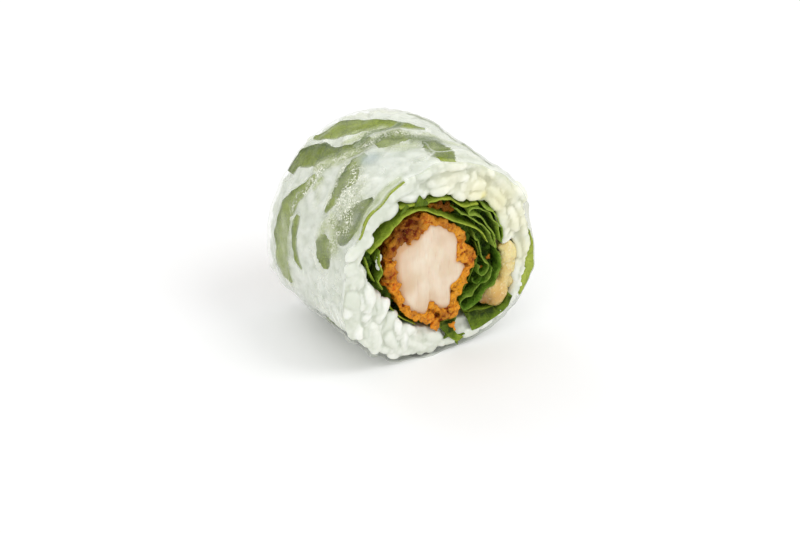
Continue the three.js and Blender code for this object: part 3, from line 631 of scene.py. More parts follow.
HOLE_OUTLINE = [
    (-19.4, 29.4), (-18.8, 32.2), (-17.2, 34.6), (-14.9, 36.3), (-12.4, 37.7), (-11.4, 39.6), (-8, 39.6),
    (-4, 39.1), (0, 39.1), (2.7, 38.5), (4.9, 36.8), (6.4, 35.7), (9.5, 35.3), (12.3, 34), (14.6, 32.1),
    (16.4, 29), (17.3, 25.6), (17.3, 23.1), (19.1, 22.2), (20.4, 19), (20.5, 16), (19.9, 12.9), (18.9, 10),
    (17.2, 7.2), (14.8, 6.1), (11.8, 6), (8.8, 6.5), (6.2, 6.7), (3, 6.5), (-1.4, 6.3), (-3.6, 7.2),
    (-6.3, 8.1), (-9.5, 10), (-12.2, 13), (-14.2, 16.5), (-15.2, 18.9), (-16.2, 20.6), (-17.5, 22.6),
    (-18.6, 25.5),
]
FLAP_OUTLINES = [
    [(6.3, 7), (7.5, 3.3), (13.4, 4.3), (17.8, 6.2), (19.4, 9)],
    [(0.4, 6.6), (1, 3.6), (3, 1.4), (5.4, 2.4), (4.6, 6.6)],
]
# Where the dressing has run into the rice: x, z, reach and strength
STAINS = [
    (9.5, 36.5, 5.5, 0.45), (14.5, 33, 5, 0.5), (19.5, 27, 5, 0.35), (3, 41, 5, 0.25), (21, 19, 4, 0.35),
    (10.6, 35.4, 1.5, 1.0),
]
# Painted shade on the rice, greyer where a lump lies in the shade of the paper: x, z, reach and strength
SHADED_RICE = [
    (-14.3, 37.7, 5, 0.7), (-20.4, 31.2, 4, 0.55), (-22, 22, 4, 0.25), (-3, 2.5, 6, 0.35),
    (3, 2.5, 5, 0.45), (-5, 42, 7, 0.3), (-15.3, 26.6, 2.5, 0.9), (19, 5, 6, 0.4),
]

GRAIN_SEGMENTS = 10
GRAIN_LEVELS = 9
HOLE_CENTRE = np.array([0.5, 22.5])
CORE = {"depth": 2.0, "sides": 160, "rings": 30, "levels": 10}
# The dips between neighbouring grains, and how much shallower they are away from the cuts
GRAIN_GAP = {"reach": 0.55, "depth": 0.3, "least": 0.4, "near_cut": (12, 16)}
RICE_VOXEL = 0.42
# Passes and span for finding the hollows that are painted with crease shade
RICE_CREASES = {"passes": 14, "span": (0.0, 0.26)}
SKIN_STEPS = 3001  # over three turns, to find the skin's outline seen from the hole
OWNER_SPOTS = 5  # along each grain, to tell which grain a point lies on
OWNERS_NEAR = 14  # of those spots that are looked at for each point
WIDEST_GAP = 2.0
SEEDS = {"grains": 8, "shades": 5, "crumbs": 12}
SIDE_PITCH = (3.3, 3.7)  # round the roll and along it
SIDE_SIZE = (0.9, 1.18)
SIDE_DEPTH = (0.95, 1.5)
SIDE_OVERHANG = 1.2  # how far past the core's end a grain may reach
# Layers of grains on a cut: middle height, its spread, seed, pitch and how large its grains are
FACE_LAYERS = [(16.3, 0.2, 17, 3.4, 1.0), (17.3, 0.35, 5, 4.5, 1.18)]
FACE_SIZE = (0.95, 1.25)
FACE_TURNS = 8  # directions that are tried for a grain on a cut
FACE_INSET = 0.15  # from the ends of the solids back to a grain on a cut
UPRIGHT_LEAN = 1.35  # in radians, for a grain that finds room only on end
# Room that a grain on a cut needs: round its middle, at its tips, stood on end, and to a grain of KEY_GRAINS
FACE_ROOM = {"middle": 0.75, "tips": 0.1, "upright": 1.3, "key": 3.4}

# Grains that stand out in the shown cut: x, z, degrees from +X, length, width, how far out
KEY_GRAINS = [
    (-20.0, 31.2, 30, 8.2, 3.6, 17.5), (-21.2, 25.2, 112, 8.0, 4.6, 17.3),
    (-21.7, 18.2, 98, 8.6, 5.0, 17.2), (-17.9, 18.0, 82, 6.6, 3.8, 17.6), (-16.5, 8.6, 97, 8.8, 4.6, 17.4),
    (-9.3, 6.4, 96, 7.4, 3.9, 17.4), (-12.2, 6.4, 112, 7.2, 3.4, 17.2), (-6.2, 3.6, 140, 6.4, 3.2, 17.2),
    (-10.6, 9.6, 100, 3.6, 2.6, 17.5), (-1.0, 4.0, 150, 6.0, 3.0, 17.0), (-3.6, 1.9, 158, 6.6, 2.7, 16.7),
    (-14.3, 37.7, 14, 8.8, 5.0, 16.9), (-9.6, 41.8, 12, 7.6, 4.0, 16.9), (0.6, 41.2, 4, 7.4, 3.6, 16.8),
    (8.2, 38.4, 168, 7.2, 3.8, 17.0), (14.4, 34.2, 128, 7.2, 3.9, 17.2), (18.9, 27.2, 104, 7.6, 3.9, 16.9),
    (20.6, 33.0, 120, 6.8, 3.6, 16.6), (-12.4, 11.0, 60, 6.2, 3.4, 16.8), (-15.2, 27.3, 64, 2.7, 1.7, 17.0),
    (-15.3, 25.8, 112, 3.2, 1.6, 16.9), (-14.4, 14.8, 62, 6.0, 3.2, 17.0), (-8.2, 8.2, 152, 5.6, 3.0, 16.9),
    (-6.2, 39.8, 176, 7.0, 3.4, 16.8), (0.4, 39.6, 175, 6.4, 3.4, 17.1), (4.8, 37.3, 142, 5.4, 3.2, 17.1),
    (8.8, 36.0, 172, 5.6, 3.0, 17.2), (14.6, 31.9, 126, 6.4, 3.2, 17.1), (16.0, 28.2, 106, 6.4, 3.2, 17.1),
    (16.9, 25.4, 92, 5.0, 2.2, 16.9), (17.4, 23.0, 30, 3.6, 2.2, 16.8), (20.0, 14.5, 80, 5.5, 2.2, 16.9),
]
# Grains along the low right rim of the shown cut: degrees round, length and width
RIM_GRAINS = [
    (276, 5.4, 2.4), (287, 5.8, 2.6), (299, 5.2, 2.3), (310, 5.6, 2.7), (320, 5, 2.4), (343, 5.2, 2.5),
    (352, 5.6, 2.7), (3, 5.4, 2.4),
]
RIM_GRAIN_Y = -17.3


def patches(points, spots):
    """How strongly points near the cuts lie in any of the given spots of x, z, reach and strength."""
    flat = points[..., [0, 2]]
    amount = np.zeros(flat.shape[:-1])
    for x, z, reach, strength in spots:
        amount = np.maximum(amount, strength * bell(np.linalg.norm(flat - (x, z), axis=-1), reach))
    return amount * smooth(np.abs(points[..., 1]), 9, 15)


def grain_template():
    """A blunt grain along Z, one unit long, wide and thick."""
    blunt = lambda height: (1 - np.abs(height) ** 2.5) ** 0.55
    points, faces = ball_template(GRAIN_SEGMENTS, GRAIN_LEVELS, blunt)
    return points / 2, faces


def grain_points(template, centre, axis, flat, size, bend):
    """The template, slightly bent, along axis with its thin side towards flat."""
    axis = axis / np.linalg.norm(axis)
    through = flat - axis * (flat @ axis)
    through = through / np.linalg.norm(through)
    wide = np.cross(through, axis)
    points = template * size
    points = points + np.array([1.0, 0, 0]) * (bend * (template[:, 2:] ** 2 - 0.1))
    return centre + points @ np.stack([wide, through, axis])


def side_grains(template, random):
    """Grains that lie under the film all round the roll."""
    grains = []
    rows = int(2 * CORE_END / SIDE_PITCH[1]) + 1
    turns = np.linspace(0, TURN, OUTLINE_STEPS)
    ring = section_inside(turns, 1.5)
    run = np.concatenate([[0], np.cumsum(np.linalg.norm(np.diff(ring, axis=0), axis=1))])
    count = int(run[-1] / SIDE_PITCH[0])
    for row, y in enumerate(np.linspace(-CORE_END, CORE_END, rows)):
        steps = np.arange(count) + 0.5 * (row % 2) + random.uniform(-0.28, 0.28, count)
        spots = steps * run[-1] / count
        for angle in np.interp(spots % run[-1], run, turns):
            size = np.array(GRAIN) * random.uniform(*SIDE_SIZE) * (1.12, 1, 1)
            depth = random.uniform(*SIDE_DEPTH) + size[1] / 2
            at = np.clip(y + random.uniform(-0.9, 0.9), -CORE_END, CORE_END)
            centre = place(section_inside(angle, depth), at)
            inward = section_inward(angle)
            outward = np.array([-inward[0], 0, -inward[1]])
            sideward = np.array([-inward[1], 0, inward[0]])
            lie = random.uniform(0, math.pi)
            axis = sideward * math.cos(lie) + np.array([0, 1, 0]) * math.sin(lie)
            axis = axis + outward * random.uniform(-0.12, 0.12)
            if abs(centre[1]) + abs(axis[1]) * size[2] / 2 > CORE_END + SIDE_OVERHANG:
                axis = sideward
            grains.append(grain_points(template, centre, axis, outward, size, random.uniform(-1, 1)))
    return grains


def face_grains(template, side, layer):
    """One layer of loose grains over a cut, clear of the filling and inside the film."""
    height, spread, seed, pitch, enlarged = layer
    random = np.random.default_rng(seed + side)
    bound = section_inside(np.linspace(0, TURN, 120, endpoint=False), 0.95) * taper(side * CORE_END)
    carry = lambda pairs: place_filling(np.asarray(pairs, float), side * CORE_END)[:, [0, 2]]
    kept = [carry(along_curve(HOLE_OUTLINE, 90, True))]
    if side < 0:
        kept += [carry(pairs) for pairs in FLAP_OUTLINES]
    keys = np.array([(x, z) for x, z, *_ in KEY_GRAINS]) if side < 0 and height > 17 else None

    def room(points):
        distances = [signed_distance(points, bound)] + [-signed_distance(points, outline) for outline in kept]
        return np.min(distances, axis=0)

    grains = []
    for row, z in enumerate(np.arange(2.4, HEIGHT, pitch * 0.87), 1):
        for x in np.arange(-HALF_WIDTH + (row % 2) * pitch / 2, HALF_WIDTH, pitch):
            centre = np.array([x, z]) + random.uniform(-0.8, 0.8, 2)
            size = np.array(GRAIN) * random.uniform(*FACE_SIZE) * enlarged
            lean = random.uniform(-0.4, 0.4)
            turns = random.uniform(0, math.pi, FACE_TURNS)
            out = height + random.uniform(-spread, spread)
            bend = random.uniform(-1, 1)
            space = room(centre[None])[0]
            if space < FACE_ROOM["middle"]:
                continue
            if keys is not None and np.linalg.norm(keys - centre, axis=1).min() < FACE_ROOM["key"]:
                continue
            reach = size[2] / 2 * math.cos(lean) * 0.85
            for turn in turns:
                aim = np.array([math.cos(turn), math.sin(turn)]) * reach
                if room(np.array([centre + aim, centre - aim])).min() > FACE_ROOM["tips"]:
                    break
            else:
                if space < FACE_ROOM["upright"]:
                    continue
                turn, lean = turns[0], UPRIGHT_LEAN
            level, rise = math.cos(lean), math.sin(lean)
            axis = np.array([math.cos(turn) * level, rise, math.sin(turn) * level])
            half_out = math.hypot(size[2] / 2 * rise, size[0] / 2 * level)
            y = side * min(out, LENGTH / 2 - FACE_INSET - half_out)
            middle = np.array([centre[0], y, centre[1]])
            grains.append(grain_points(template, middle, axis, np.array([0, 1.0, 0.01]), size, bend))
    return grains


def placed_grains(template, random):
    """The grains that stand out in the shown cut, and those along its rim."""
    grains = []
    facing = np.array([0, -1.0, 0])
    for x, z, degrees, length, width, out in KEY_GRAINS:
        lie = math.radians(degrees)
        axis = np.array([math.cos(lie), 0, math.sin(lie)])
        size = np.array([width, min(width * 0.8, 2.5), length])
        centre = np.array([x, -min(out, LENGTH / 2 - 0.1 - size[1] / 2), z])
        grains.append(grain_points(template, centre, axis, facing, size, random.uniform(-1, 1)))
    for degrees, length, width in RIM_GRAINS:
        angle = math.radians(degrees)
        inward = section_inward(angle)
        axis = np.array([-inward[1], random.uniform(-0.2, 0.2), inward[0]])
        centre = place(section_inside(angle, 1.1 + width / 2), RIM_GRAIN_Y)
        size = np.array([width, width * 0.8, length])
        grains.append(grain_points(template, centre, axis, facing, size, random.uniform(-1, 1)))
    return grains


def core_rings():
    """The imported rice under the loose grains, as rings round the wall between its skin and its hole."""
    around, aim = round_angles(CORE["sides"])
    ys = np.linspace(-CORE_END, CORE_END, CORE["rings"])
    hole = HOLE_CENTRE + aim * polar_reach(HOLE_OUTLINE, HOLE_CENTRE, around)[:, None]
    turns = np.linspace(-TURN, 2 * TURN, SKIN_STEPS)
    rel = section_inside(turns, CORE["depth"]) - HOLE_CENTRE
    seen_at = np.unwrap(np.arctan2(rel[:, 1], rel[:, 0])) - TURN
    skin = section_inside(np.interp(around, seen_at, turns), CORE["depth"])
    shares = np.linspace(0, 1, CORE["levels"])[1:-1]
    end = lambda y: (place(skin, y), place_filling(hole, y))
    (rear_out, rear_in), (front_out, front_in) = end(CORE_END), end(-CORE_END)
    rings = [place(skin, y) for y in ys]
    rings += [rear_out * (1 - share) + rear_in * share for share in shares]
    rings += [place_filling(hole, y) for y in ys[::-1]]
    rings += [front_in * (1 - share) + front_out * share for share in shares]
    return np.array(rings)


def grain_owners(points, grains):
    """The grain that each point lies on, and how much nearer it is to it than to the next one."""
    tree = KDTree(OWNER_SPOTS * len(grains))
    for index, grain in enumerate(grains):
        for spot in np.linspace(grain[-1], grain[-2], OWNER_SPOTS + 2)[1:-1]:
            tree.insert(spot, index)
    tree.balance()
    owners = np.zeros(len(points), int)
    gaps = np.full(len(points), WIDEST_GAP)
    for number, point in enumerate(points.tolist()):
        found = tree.find_n(point, OWNERS_NEAR)
        owners[number] = found[0][1]
        for _, index, distance in found:
            if index != owners[number]:
                gaps[number] = distance - found[0][2]
                break
    return owners, gaps


def rice():
    """Cooked grains stuck together over their packed core. Gives the points and faces of their skin."""
    template, faces = grain_template()
    random = np.random.default_rng(SEEDS["grains"])
    grains = side_grains(template, random)
    for side in (-1, 1):
        for layer in FACE_LAYERS:
            grains += face_grains(template, side, layer)
    grains += placed_grains(template, random)
    rings = core_rings()
    count, sides = rings.shape[:2]
    all_faces = grid_faces(count, sides, wrap_rows=True, wrap_columns=True)
    for index in range(len(grains)):
        all_faces += shifted(faces, count * sides + index * len(template))
    points = np.concatenate([rings.reshape(-1, 3), *grains])
    piece = make_piece("rice_grains", points, all_faces, rice_finish(), "rice", ["rice"])
    fuse(piece, RICE_VOXEL, 1)
    points = piece_points(piece)
    owners, gaps = grain_owners(points, grains)
    near_cut = smooth(np.abs(points[:, 1]), *GRAIN_GAP["near_cut"])
    between = smooth(gaps, GRAIN_GAP["reach"], 0)
    between = between * (GRAIN_GAP["least"] + (1 - GRAIN_GAP["least"]) * near_cut)
    sink(piece, GRAIN_GAP["depth"] * between)
    points = piece_points(piece)
    own = np.random.default_rng(SEEDS["shades"]).uniform(0, 1, len(grains))[owners] ** 2
    add_value(piece.data, "stain", patches(points, STAINS))
    # shade holds each grain's own random tone and the painted shade of SHADED_RICE
    add_value(piece.data, "shade", np.maximum(0.6 * own, patches(points, SHADED_RICE)))
    # Painted crease shade: darker in the hollows and in the dips between grains
    creases = smooth(hollows(piece, RICE_CREASES["passes"]), *RICE_CREASES["span"])
    add_value(piece.data, "crease_shade", np.maximum(creases, 0.5 * between))
    return points, [tuple(polygon.vertices) for polygon in piece.data.polygons]


# Leaves under the paper: each follows a spine of (degrees round, y, half width)

MM_PER_DEGREE = 0.47
PAPER_LEAVES = [
    [
        (195.8, 6.1, 1.1), (190, 8.4, 2.8), (183.4, 9.4, 3.3), (175.1, 9.7, 2.8), (166.8, 10.3, 3.3),
        (159.9, 10.1, 3.2), (151.5, 8, 2.2), (142.5, 6.3, 1.2), (136.5, 4.9, 0.7),
    ],
    [(179.4, 0.5, 0.4), (174.4, 2.8, 1), (169.2, 4.2, 1.2), (162.9, 4.8, 1.1), (156.8, 4.8, 0.7)],
    [
        (140.8, 15, 2.2), (132.7, 14.4, 2.9), (128.3, 10.7, 3.4), (124.8, 5.8, 2.8), (120.4, 2.8, 2.2),
        (114.5, 1.1, 2), (109, 0.8, 1.7), (104, 1.2, 0.7),
    ],
    [
        (119, 15.8, 0.8), (114, 12.8, 2.9), (108.5, 10.8, 3.8), (104, 8, 3.3), (98, 5.8, 2.5),
        (92, 3.8, 2.3), (86, 1.8, 1.9), (80, 0, 1.4), (75, -1.6, 0.7),
    ],
    [
        (147.6, -3.5, 0.4), (140.7, -4.1, 1.4), (133.3, -3.8, 1.6), (127.3, -4.2, 2.6), (123.2, -3.5, 2.1),
        (118.6, -3, 1.4), (113.4, -3.1, 0.7),
    ],
    [(156.5, -5.6, 0.9), (160, -6.4, 2.5), (163.5, -7.4, 2.9), (167, -8.2, 2.4), (170.5, -8.8, 1)],
    [
        (150.5, -8.6, 1.2), (149.5, -11, 3), (146, -12.6, 3.5), (139.5, -13.4, 2.8), (133.5, -14, 1.7),
        (128.7, -14.6, 0.6),
    ],
    [(106, -2.4, 1), (101, -2.6, 2), (95.5, -2.6, 2.7), (91, -3.6, 2.1), (87.5, -4.6, 0.8)],
    [
        (84, -6.8, 0.8), (83, -8.6, 2.4), (83, -11, 3.2), (84.5, -14, 2.9), (86, -16.6, 2.5),
        (86.5, -18.2, 2),
    ],
    [(66, 11, 0.7), (56, 9, 2), (45, 6, 2.4), (34, 4.6, 1.9), (24, 5, 0.7)],
    [(60, -8, 0.7), (50, -6.4, 1.9), (38, -7.4, 2.4), (27, -9.4, 1.6), (20, -12, 0.7)],
    [(9, -16.4, 0.9), (1, -16.8, 2.6), (-8, -17.4, 3), (-20, -17.6, 2.4), (-32, -17.4, 1)],
    [(10, 11, 0.8), (0, 9, 2.2), (-12, 6.6, 2.6), (-24, 5.4, 2.1), (-36, 6.4, 0.8)],
    [(216, -4, 0.7), (226, -2, 1.9), (237, 0.4, 2.2), (248, 1.6, 0.8)],
    [(147.5, -17.6, 0.3), (141, -17.6, 0.5), (132, -17.7, 0.5), (122, -17.7, 0.5), (112.5, -17.7, 0.3)],
]
LEAF_TONES = [0.75, 0.6, 0.4, 0.65, 0.5, 0.62, 0.25, 0.45, 0.34, 0.45, 0.45, 0.9, 0.45, 0.45, 0.7]
LEAF_LENGTH_STEPS = 70
LEAF_WIDTH_STEPS = 14
LEAF_THICK = 0.22
LEAF_OVER = 0.3  # from the tops of the grains out to the leaf
LEAF_RAG = {"depth": 0.16, "size": 2.2, "step": 0.45}
RIM_LEAVES = (9, 12, 15)  # their cut edges show at the rim of the paper
TURNED_LEAF = 12  # its front edge is tucked in
EDGE_LEAF = {"number": 15, "thick": 0.28, "proud": 0.15, "lit": (-0.35, -0.1)}

# Film: columns round the roll, rows along it, and its own thickness
FILM_COLUMNS = 440
FILM_ROWS = 112
FILM_THICK = 0.12
FILM_OVER = 0.56  # from the tops of the grains out to the film
FILM_LEAST = 0.02  # the film's outer face stays this deep in the roll's section
DEEPEST_DIP = 2.4
RAY_REACH = 4
TAUT_PASSES = 34
CLEAR_SPOT = {"degrees": 215, "y": -15, "reach": 15}  # where the film clings most and hardly shows
PAPER_END = {"middle": 17.9, "slant": 0.45, "slant_at": math.radians(20), "rear_wave": 0.3}
PAPER_LIP = {"at": math.radians(262), "spread": 0.3, "reach": 0.45}
# Bands where the film is frosted by fine bubbles and carries painted glints: a run of degrees round and y,
# reach, how frosted, how green
FROST_AND_GLINTS = [
    (
        [
            (132, 5.7), (126.8, 3.3), (122.5, 1.4), (117.3, 0.2), (112.8, -0.6), (107.3, -0.6),
            (101.5, -0.6), (96, -1.2), (90, -2.7), (86, -4.2),
        ],
        1.5, 0.8, 0.9,
    ),
    ([(115, 4.4), (110.5, 3.4), (105.2, 2.9), (100, 2.9), (94, 2.6)], 0.9, 0.5, 0.8),
    ([(110, 5.6), (104, 4.2), (98, 3.4)], 0.5, 0.2, 0.6),
    (
        [(86.8, -4), (84.2, -5.5), (78.8, -5.2), (76, -7), (72.5, -8.7), (67.8, -9.6), (63.5, -9.8)], 1.5,
        0.2, 0.7,
    ),
    ([(80.5, -7.6), (83, -10.1), (85, -11.5)], 1.3, 0.15, 0.5),
    (
        [(155, 7.4), (151, 6.8), (146.5, 5.6), (142.8, 5.1), (139, 4.6), (135.5, 4.2), (132.2, 4)], 1.4,
        1.0, 0.35,
    ),
    ([(136, 2.7), (141, 3.1)], 0.7, 0.3, 0.9), ([(147, 0), (138, 2)], 1.2, 0.5, 0.25),
    (
        [
            (143, -3.2), (139, -2.8), (134.2, -2.6), (129.5, -1.9), (124.8, -1.2), (120.5, -0.9),
            (115.8, -0.6),
        ],
        0.8, 0.9, 0.4,
    ),
    ([(122, -4.6), (126.3, -6), (130, -7), (134, -6.8), (138, -7)], 2.4, 1.0, 0.3),
    ([(127, -9), (132, -9.4), (138, -9.6), (142, -9.6)], 2.2, 0.9, 0.35),
    ([(134.5, -12), (138.5, -11), (142, -11.5), (147, -12), (151.5, -10.5)], 2.3, 1.0, 0.5),
    ([(160, 6), (166, 6.8)], 1.3, 0.6, 0.4),
    ([(166, 8.5), (174, 7.8), (184, 7.8), (190, 7.6)], 3.0, 0.15, 0.6),
    ([(149, -7), (151, -9), (155, -10), (158, -10.5)], 2.2, 0.75, 0.8),
    ([(151.5, -5.5), (157, -5.3)], 1.5, 0.4, 0.7),
    ([(101.5, -4.5), (97, -7), (93, -8.5), (88, -6)], 2.2, 0.15, 0.5),
    ([(140.8, -7.2), (142.8, -10.6), (136, -11.1)], 2.0, 0.9, 0.45),
    ([(137, 17.4), (130, 17.6), (126, 16)], 1.1, 0.9, 0.25),
    ([(136, -4.2), (128, -4.4), (120, -3.4)], 1.6, 0.2, 0.35),
    ([(146, -16.4), (136, -16.2), (122, -16.3), (114, -16.6)], 1.0, 0.1, 0.55),
]
# Runs where the film lies off its leaf and looks milky: degrees round and y, reach and strength
VEILS = [
    ([(92, -12.6)], 1.6, 0.35), ([(160, -6.5)], 3.6, 0.1), ([(142, -12), (152, -10.5)], 2.4, 0.5),
    ([(150, 6)], 2, 0.2), ([(147, -16.8), (132, -16.9), (114, -17)], 0.8, 0.35),
]
# Runs where the edge of a folded leaf shows dark through the film
FOLDS = [
    (
        [(113, 1.2), (110, 1.3), (107, 1.9), (103.2, 2.3), (100, 2.3), (94.5, 1), (90.8, 0.7), (85.8, 1.4)],
        0.6, 1,
    ),
    ([(87.5, -5.4), (82, -7.2), (78, -8.2)], 1.7, 1), ([(111, -0.8), (104, -1), (97, -1.6)], 0.9, 0.9),
]
# Runs of painted grey shade on the film
GREY_SHADE = [
    ([(112.5, -5.6), (117, -4.6)], 2.5, 0.95), ([(109, -10), (103, -8)], 4, 0.45), ([(102, -14)], 4, 0.2),
    ([(183, -8)], 6, 0.2),
]
# Creases that show as thin white lines: runs of degrees round and y
CREASES = [
    ([(86.8, -8.7), (87.2, -11), (87.8, -13.3), (82, -14.6), (76, -14.2), (70.8, -13.4)], 0.25, 0.6),
    ([(88.5, -13.8), (92, -15), (96.2, -16.1)], 0.25, 0.6),
]


def paper_front(angle):
    turn = (angle - PAPER_LIP["at"] + math.pi) % TURN - math.pi
    lip = PAPER_LIP["reach"] * bell(turn, PAPER_LIP["spread"])
    return -(PAPER_END["middle"] + PAPER_END["slant"] * np.cos(angle - PAPER_END["slant_at"]) + lip)


def paper_rear(angle):
    return PAPER_END["middle"] + PAPER_END["rear_wave"] * np.sin(2 * angle + 1)


class Wrapping:
    """The stretched skin over the grains, as a grid of depths below the section."""

    def __init__(self, points, faces):
        self.angles = np.arange(FILM_COLUMNS) * TURN / FILM_COLUMNS
        share = np.linspace(0, 1, FILM_ROWS)[:, None]
        self.ys = paper_front(self.angles) * (1 - share) + paper_rear(self.angles) * share
        self.depth = self.stretched(self.touch(points, faces))

    def touch(self, points, faces):
        """How deep under the section the grains' tops lie, by rays cast straight in."""
        tree = BVHTree.FromPolygons(points.tolist(), faces)
        inward = section_inward(self.angles)
        standoff = 0.5
        hits = np.full(self.ys.shape, DEEPEST_DIP)
        for row in range(FILM_ROWS):
            starts = place(section_inside(self.angles, -standoff), self.ys[row])
            for column in range(FILM_COLUMNS):
                aim = Vector((inward[column, 0], 0, inward[column, 1]))
                distance = tree.ray_cast(Vector(starts[column]), aim, RAY_REACH)[3]
                if distance is not None:
                    hits[row, column] = min(distance - standoff, DEEPEST_DIP)
        return hits

    def stretched(self, limit):
        """Spans the dips between grains like a taut skin and never sinks below their tops."""
        padded = np.vstack([limit[:1], limit, limit[-1:]])
        beside = [np.roll(limit, 1, 1), np.roll(limit, -1, 1), padded[:-2], padded[2:]]
        limit = np.minimum.reduce([limit, *beside])
        depth = limit.copy()
        for _ in range(TAUT_PASSES):
            depth = np.minimum(self.blurred(depth), limit)
        return self.blurred(depth, 2)

    def blurred(self, depth, passes=1):
        for _ in range(passes):
            sides = (np.roll(depth, 1, 1) + np.roll(depth, -1, 1)) / 2
            padded = np.vstack([depth[:1], depth, depth[-1:]])
            along = (padded[:-2] + padded[2:]) / 2
            depth = depth * 0.4 + sides * 0.3 + along * 0.3
        return depth

    def depth_at(self, angle, y):
        """The skin's depth at any place, read between the grid's points."""
        column = (np.asarray(angle) % TURN) / TURN * FILM_COLUMNS
        front, rear = paper_front(angle), paper_rear(angle)
        row = np.clip((y - front) / (rear - front), 0, 1) * (FILM_ROWS - 1)
        i, j = np.floor(column).astype(int), np.minimum(np.floor(row).astype(int), FILM_ROWS - 2)
        u, v = column - i, row - j
        left, right = i % FILM_COLUMNS, (i + 1) % FILM_COLUMNS
        near = self.depth[j, left] * (1 - u) + self.depth[j, right] * u
        far = self.depth[j + 1, left] * (1 - u) + self.depth[j + 1, right] * u
        return near * (1 - v) + far * v

    def round_distance(self, degrees, y):
        """Millimetres from each grid point to a place on the wrapping."""
        turn = (np.degrees(self.angles) - degrees + 180) % 360 - 180
        return np.hypot(turn * MM_PER_DEGREE, self.ys - y)

    def bands(self, bands):
        """How strongly each grid point lies on any of the bands: a run of (degrees, y), reach, strength."""
        amount = np.zeros(self.ys.shape)
        for run, reach, strength in bands:
            if len(run) > 1:
                run = along_curve([(degrees * MM_PER_DEGREE, y) for degrees, y in run], 8 * len(run))
                run = run / (MM_PER_DEGREE, 1)
            near = np.min([self.round_distance(degrees, y) for degrees, y in run], axis=0)
            amount = np.maximum(amount, strength * bell(near, reach))
        return amount


def leaf_spine(spine, count):
    """Even points on a leaf's spine as (mm round, y, half width)."""
    return along_curve([(degrees * MM_PER_DEGREE, y, half) for degrees, y, half in spine], count)


def leaf_cover(wrapping):
    """1 where a leaf lies under the film, 0 on bare rice, with a soft border."""
    cover = np.zeros(wrapping.ys.shape)
    for spine in PAPER_LEAVES:
        for run, y, half in leaf_spine(spine, 60):
            distance = wrapping.round_distance(run / MM_PER_DEGREE, y)
            cover = np.maximum(cover, smooth(half - distance, -0.5, 0.6))
    return cover


def paper_leaves(wrapping, material):
    """The leaves under the paper, ragged along both sides and thin at their edges and tips."""
    shares = np.linspace(-1, 1, LEAF_WIDTH_STEPS)
    steps = np.arange(LEAF_LENGTH_STEPS)
    tip = np.minimum(steps, steps[::-1])[:, None] / 6
    edge_share = 0.35 + 0.65 * smooth(1 - np.abs(shares), 0, 0.25)
    tip_share = 0.5 + 0.5 * smooth(tip, 0, 1)
    for number, (spine, leaf_tone) in enumerate(zip(PAPER_LEAVES, LEAF_TONES), 1):
        is_edge = number == EDGE_LEAF["number"]
        is_rim = number in RIM_LEAVES
        line = leaf_spine(spine, LEAF_LENGTH_STEPS)
        along = xyz(steps * LEAF_RAG["step"], 0, number)
        ragged = lambda seed: (1 + LEAF_RAG["depth"] * layered(along, LEAF_RAG["size"], 3, seed))[:, None]
        reach = np.where(shares < 0, ragged(1), ragged(2)) * line[:, 2:3] * shares
        flat = line[:, None, :2] + sideways(line[:, :2])[:, None] * reach[..., None]
        angle = np.radians(flat[..., 0] / MM_PER_DEGREE)
        front = paper_front(angle)
        edge = front - (EDGE_LEAF["proud"] if is_edge else -0.05)
        y = np.maximum(flat[..., 1], edge)
        turned_in = np.maximum(0, edge - flat[..., 1]) * (number == TURNED_LEAF)
        wave = 0.04 * layered(xyz(flat[..., 0], y, number), 2.4, 2)
        depth = wrapping.depth_at(angle, y) + turned_in - LEAF_OVER + wave
        half = (EDGE_LEAF["thick"] if is_edge else LEAF_THICK) / 2 * edge_share * tip_share
        points, faces = sheet(place(section_inside(angle, depth), y), half)
        tone = leaf_tone + 0.22 * lumps(xyz(flat[..., 0], y, 0), 3.0, number) + 0.12 * bell(shares, 0.09)
        tone = tone - 0.3 * bell(shares + 0.8, 0.22) * (not is_rim)
        lit = smooth(front - y, *(EDGE_LEAF["lit"] if is_edge else (-1.0, -0.3)))
        tone = np.clip(tone + 0.8 * lit * is_rim, 0, 1)
        name = f"leaf_outer_{number:02d}"
        values = {"tone": np.tile(tone.ravel(), 2)}
        blade = make_piece(name + "_blade", points, faces, material, "herb_leaf", [name], values)
        blade.visible_shadow = False
        blade.visible_diffuse = False


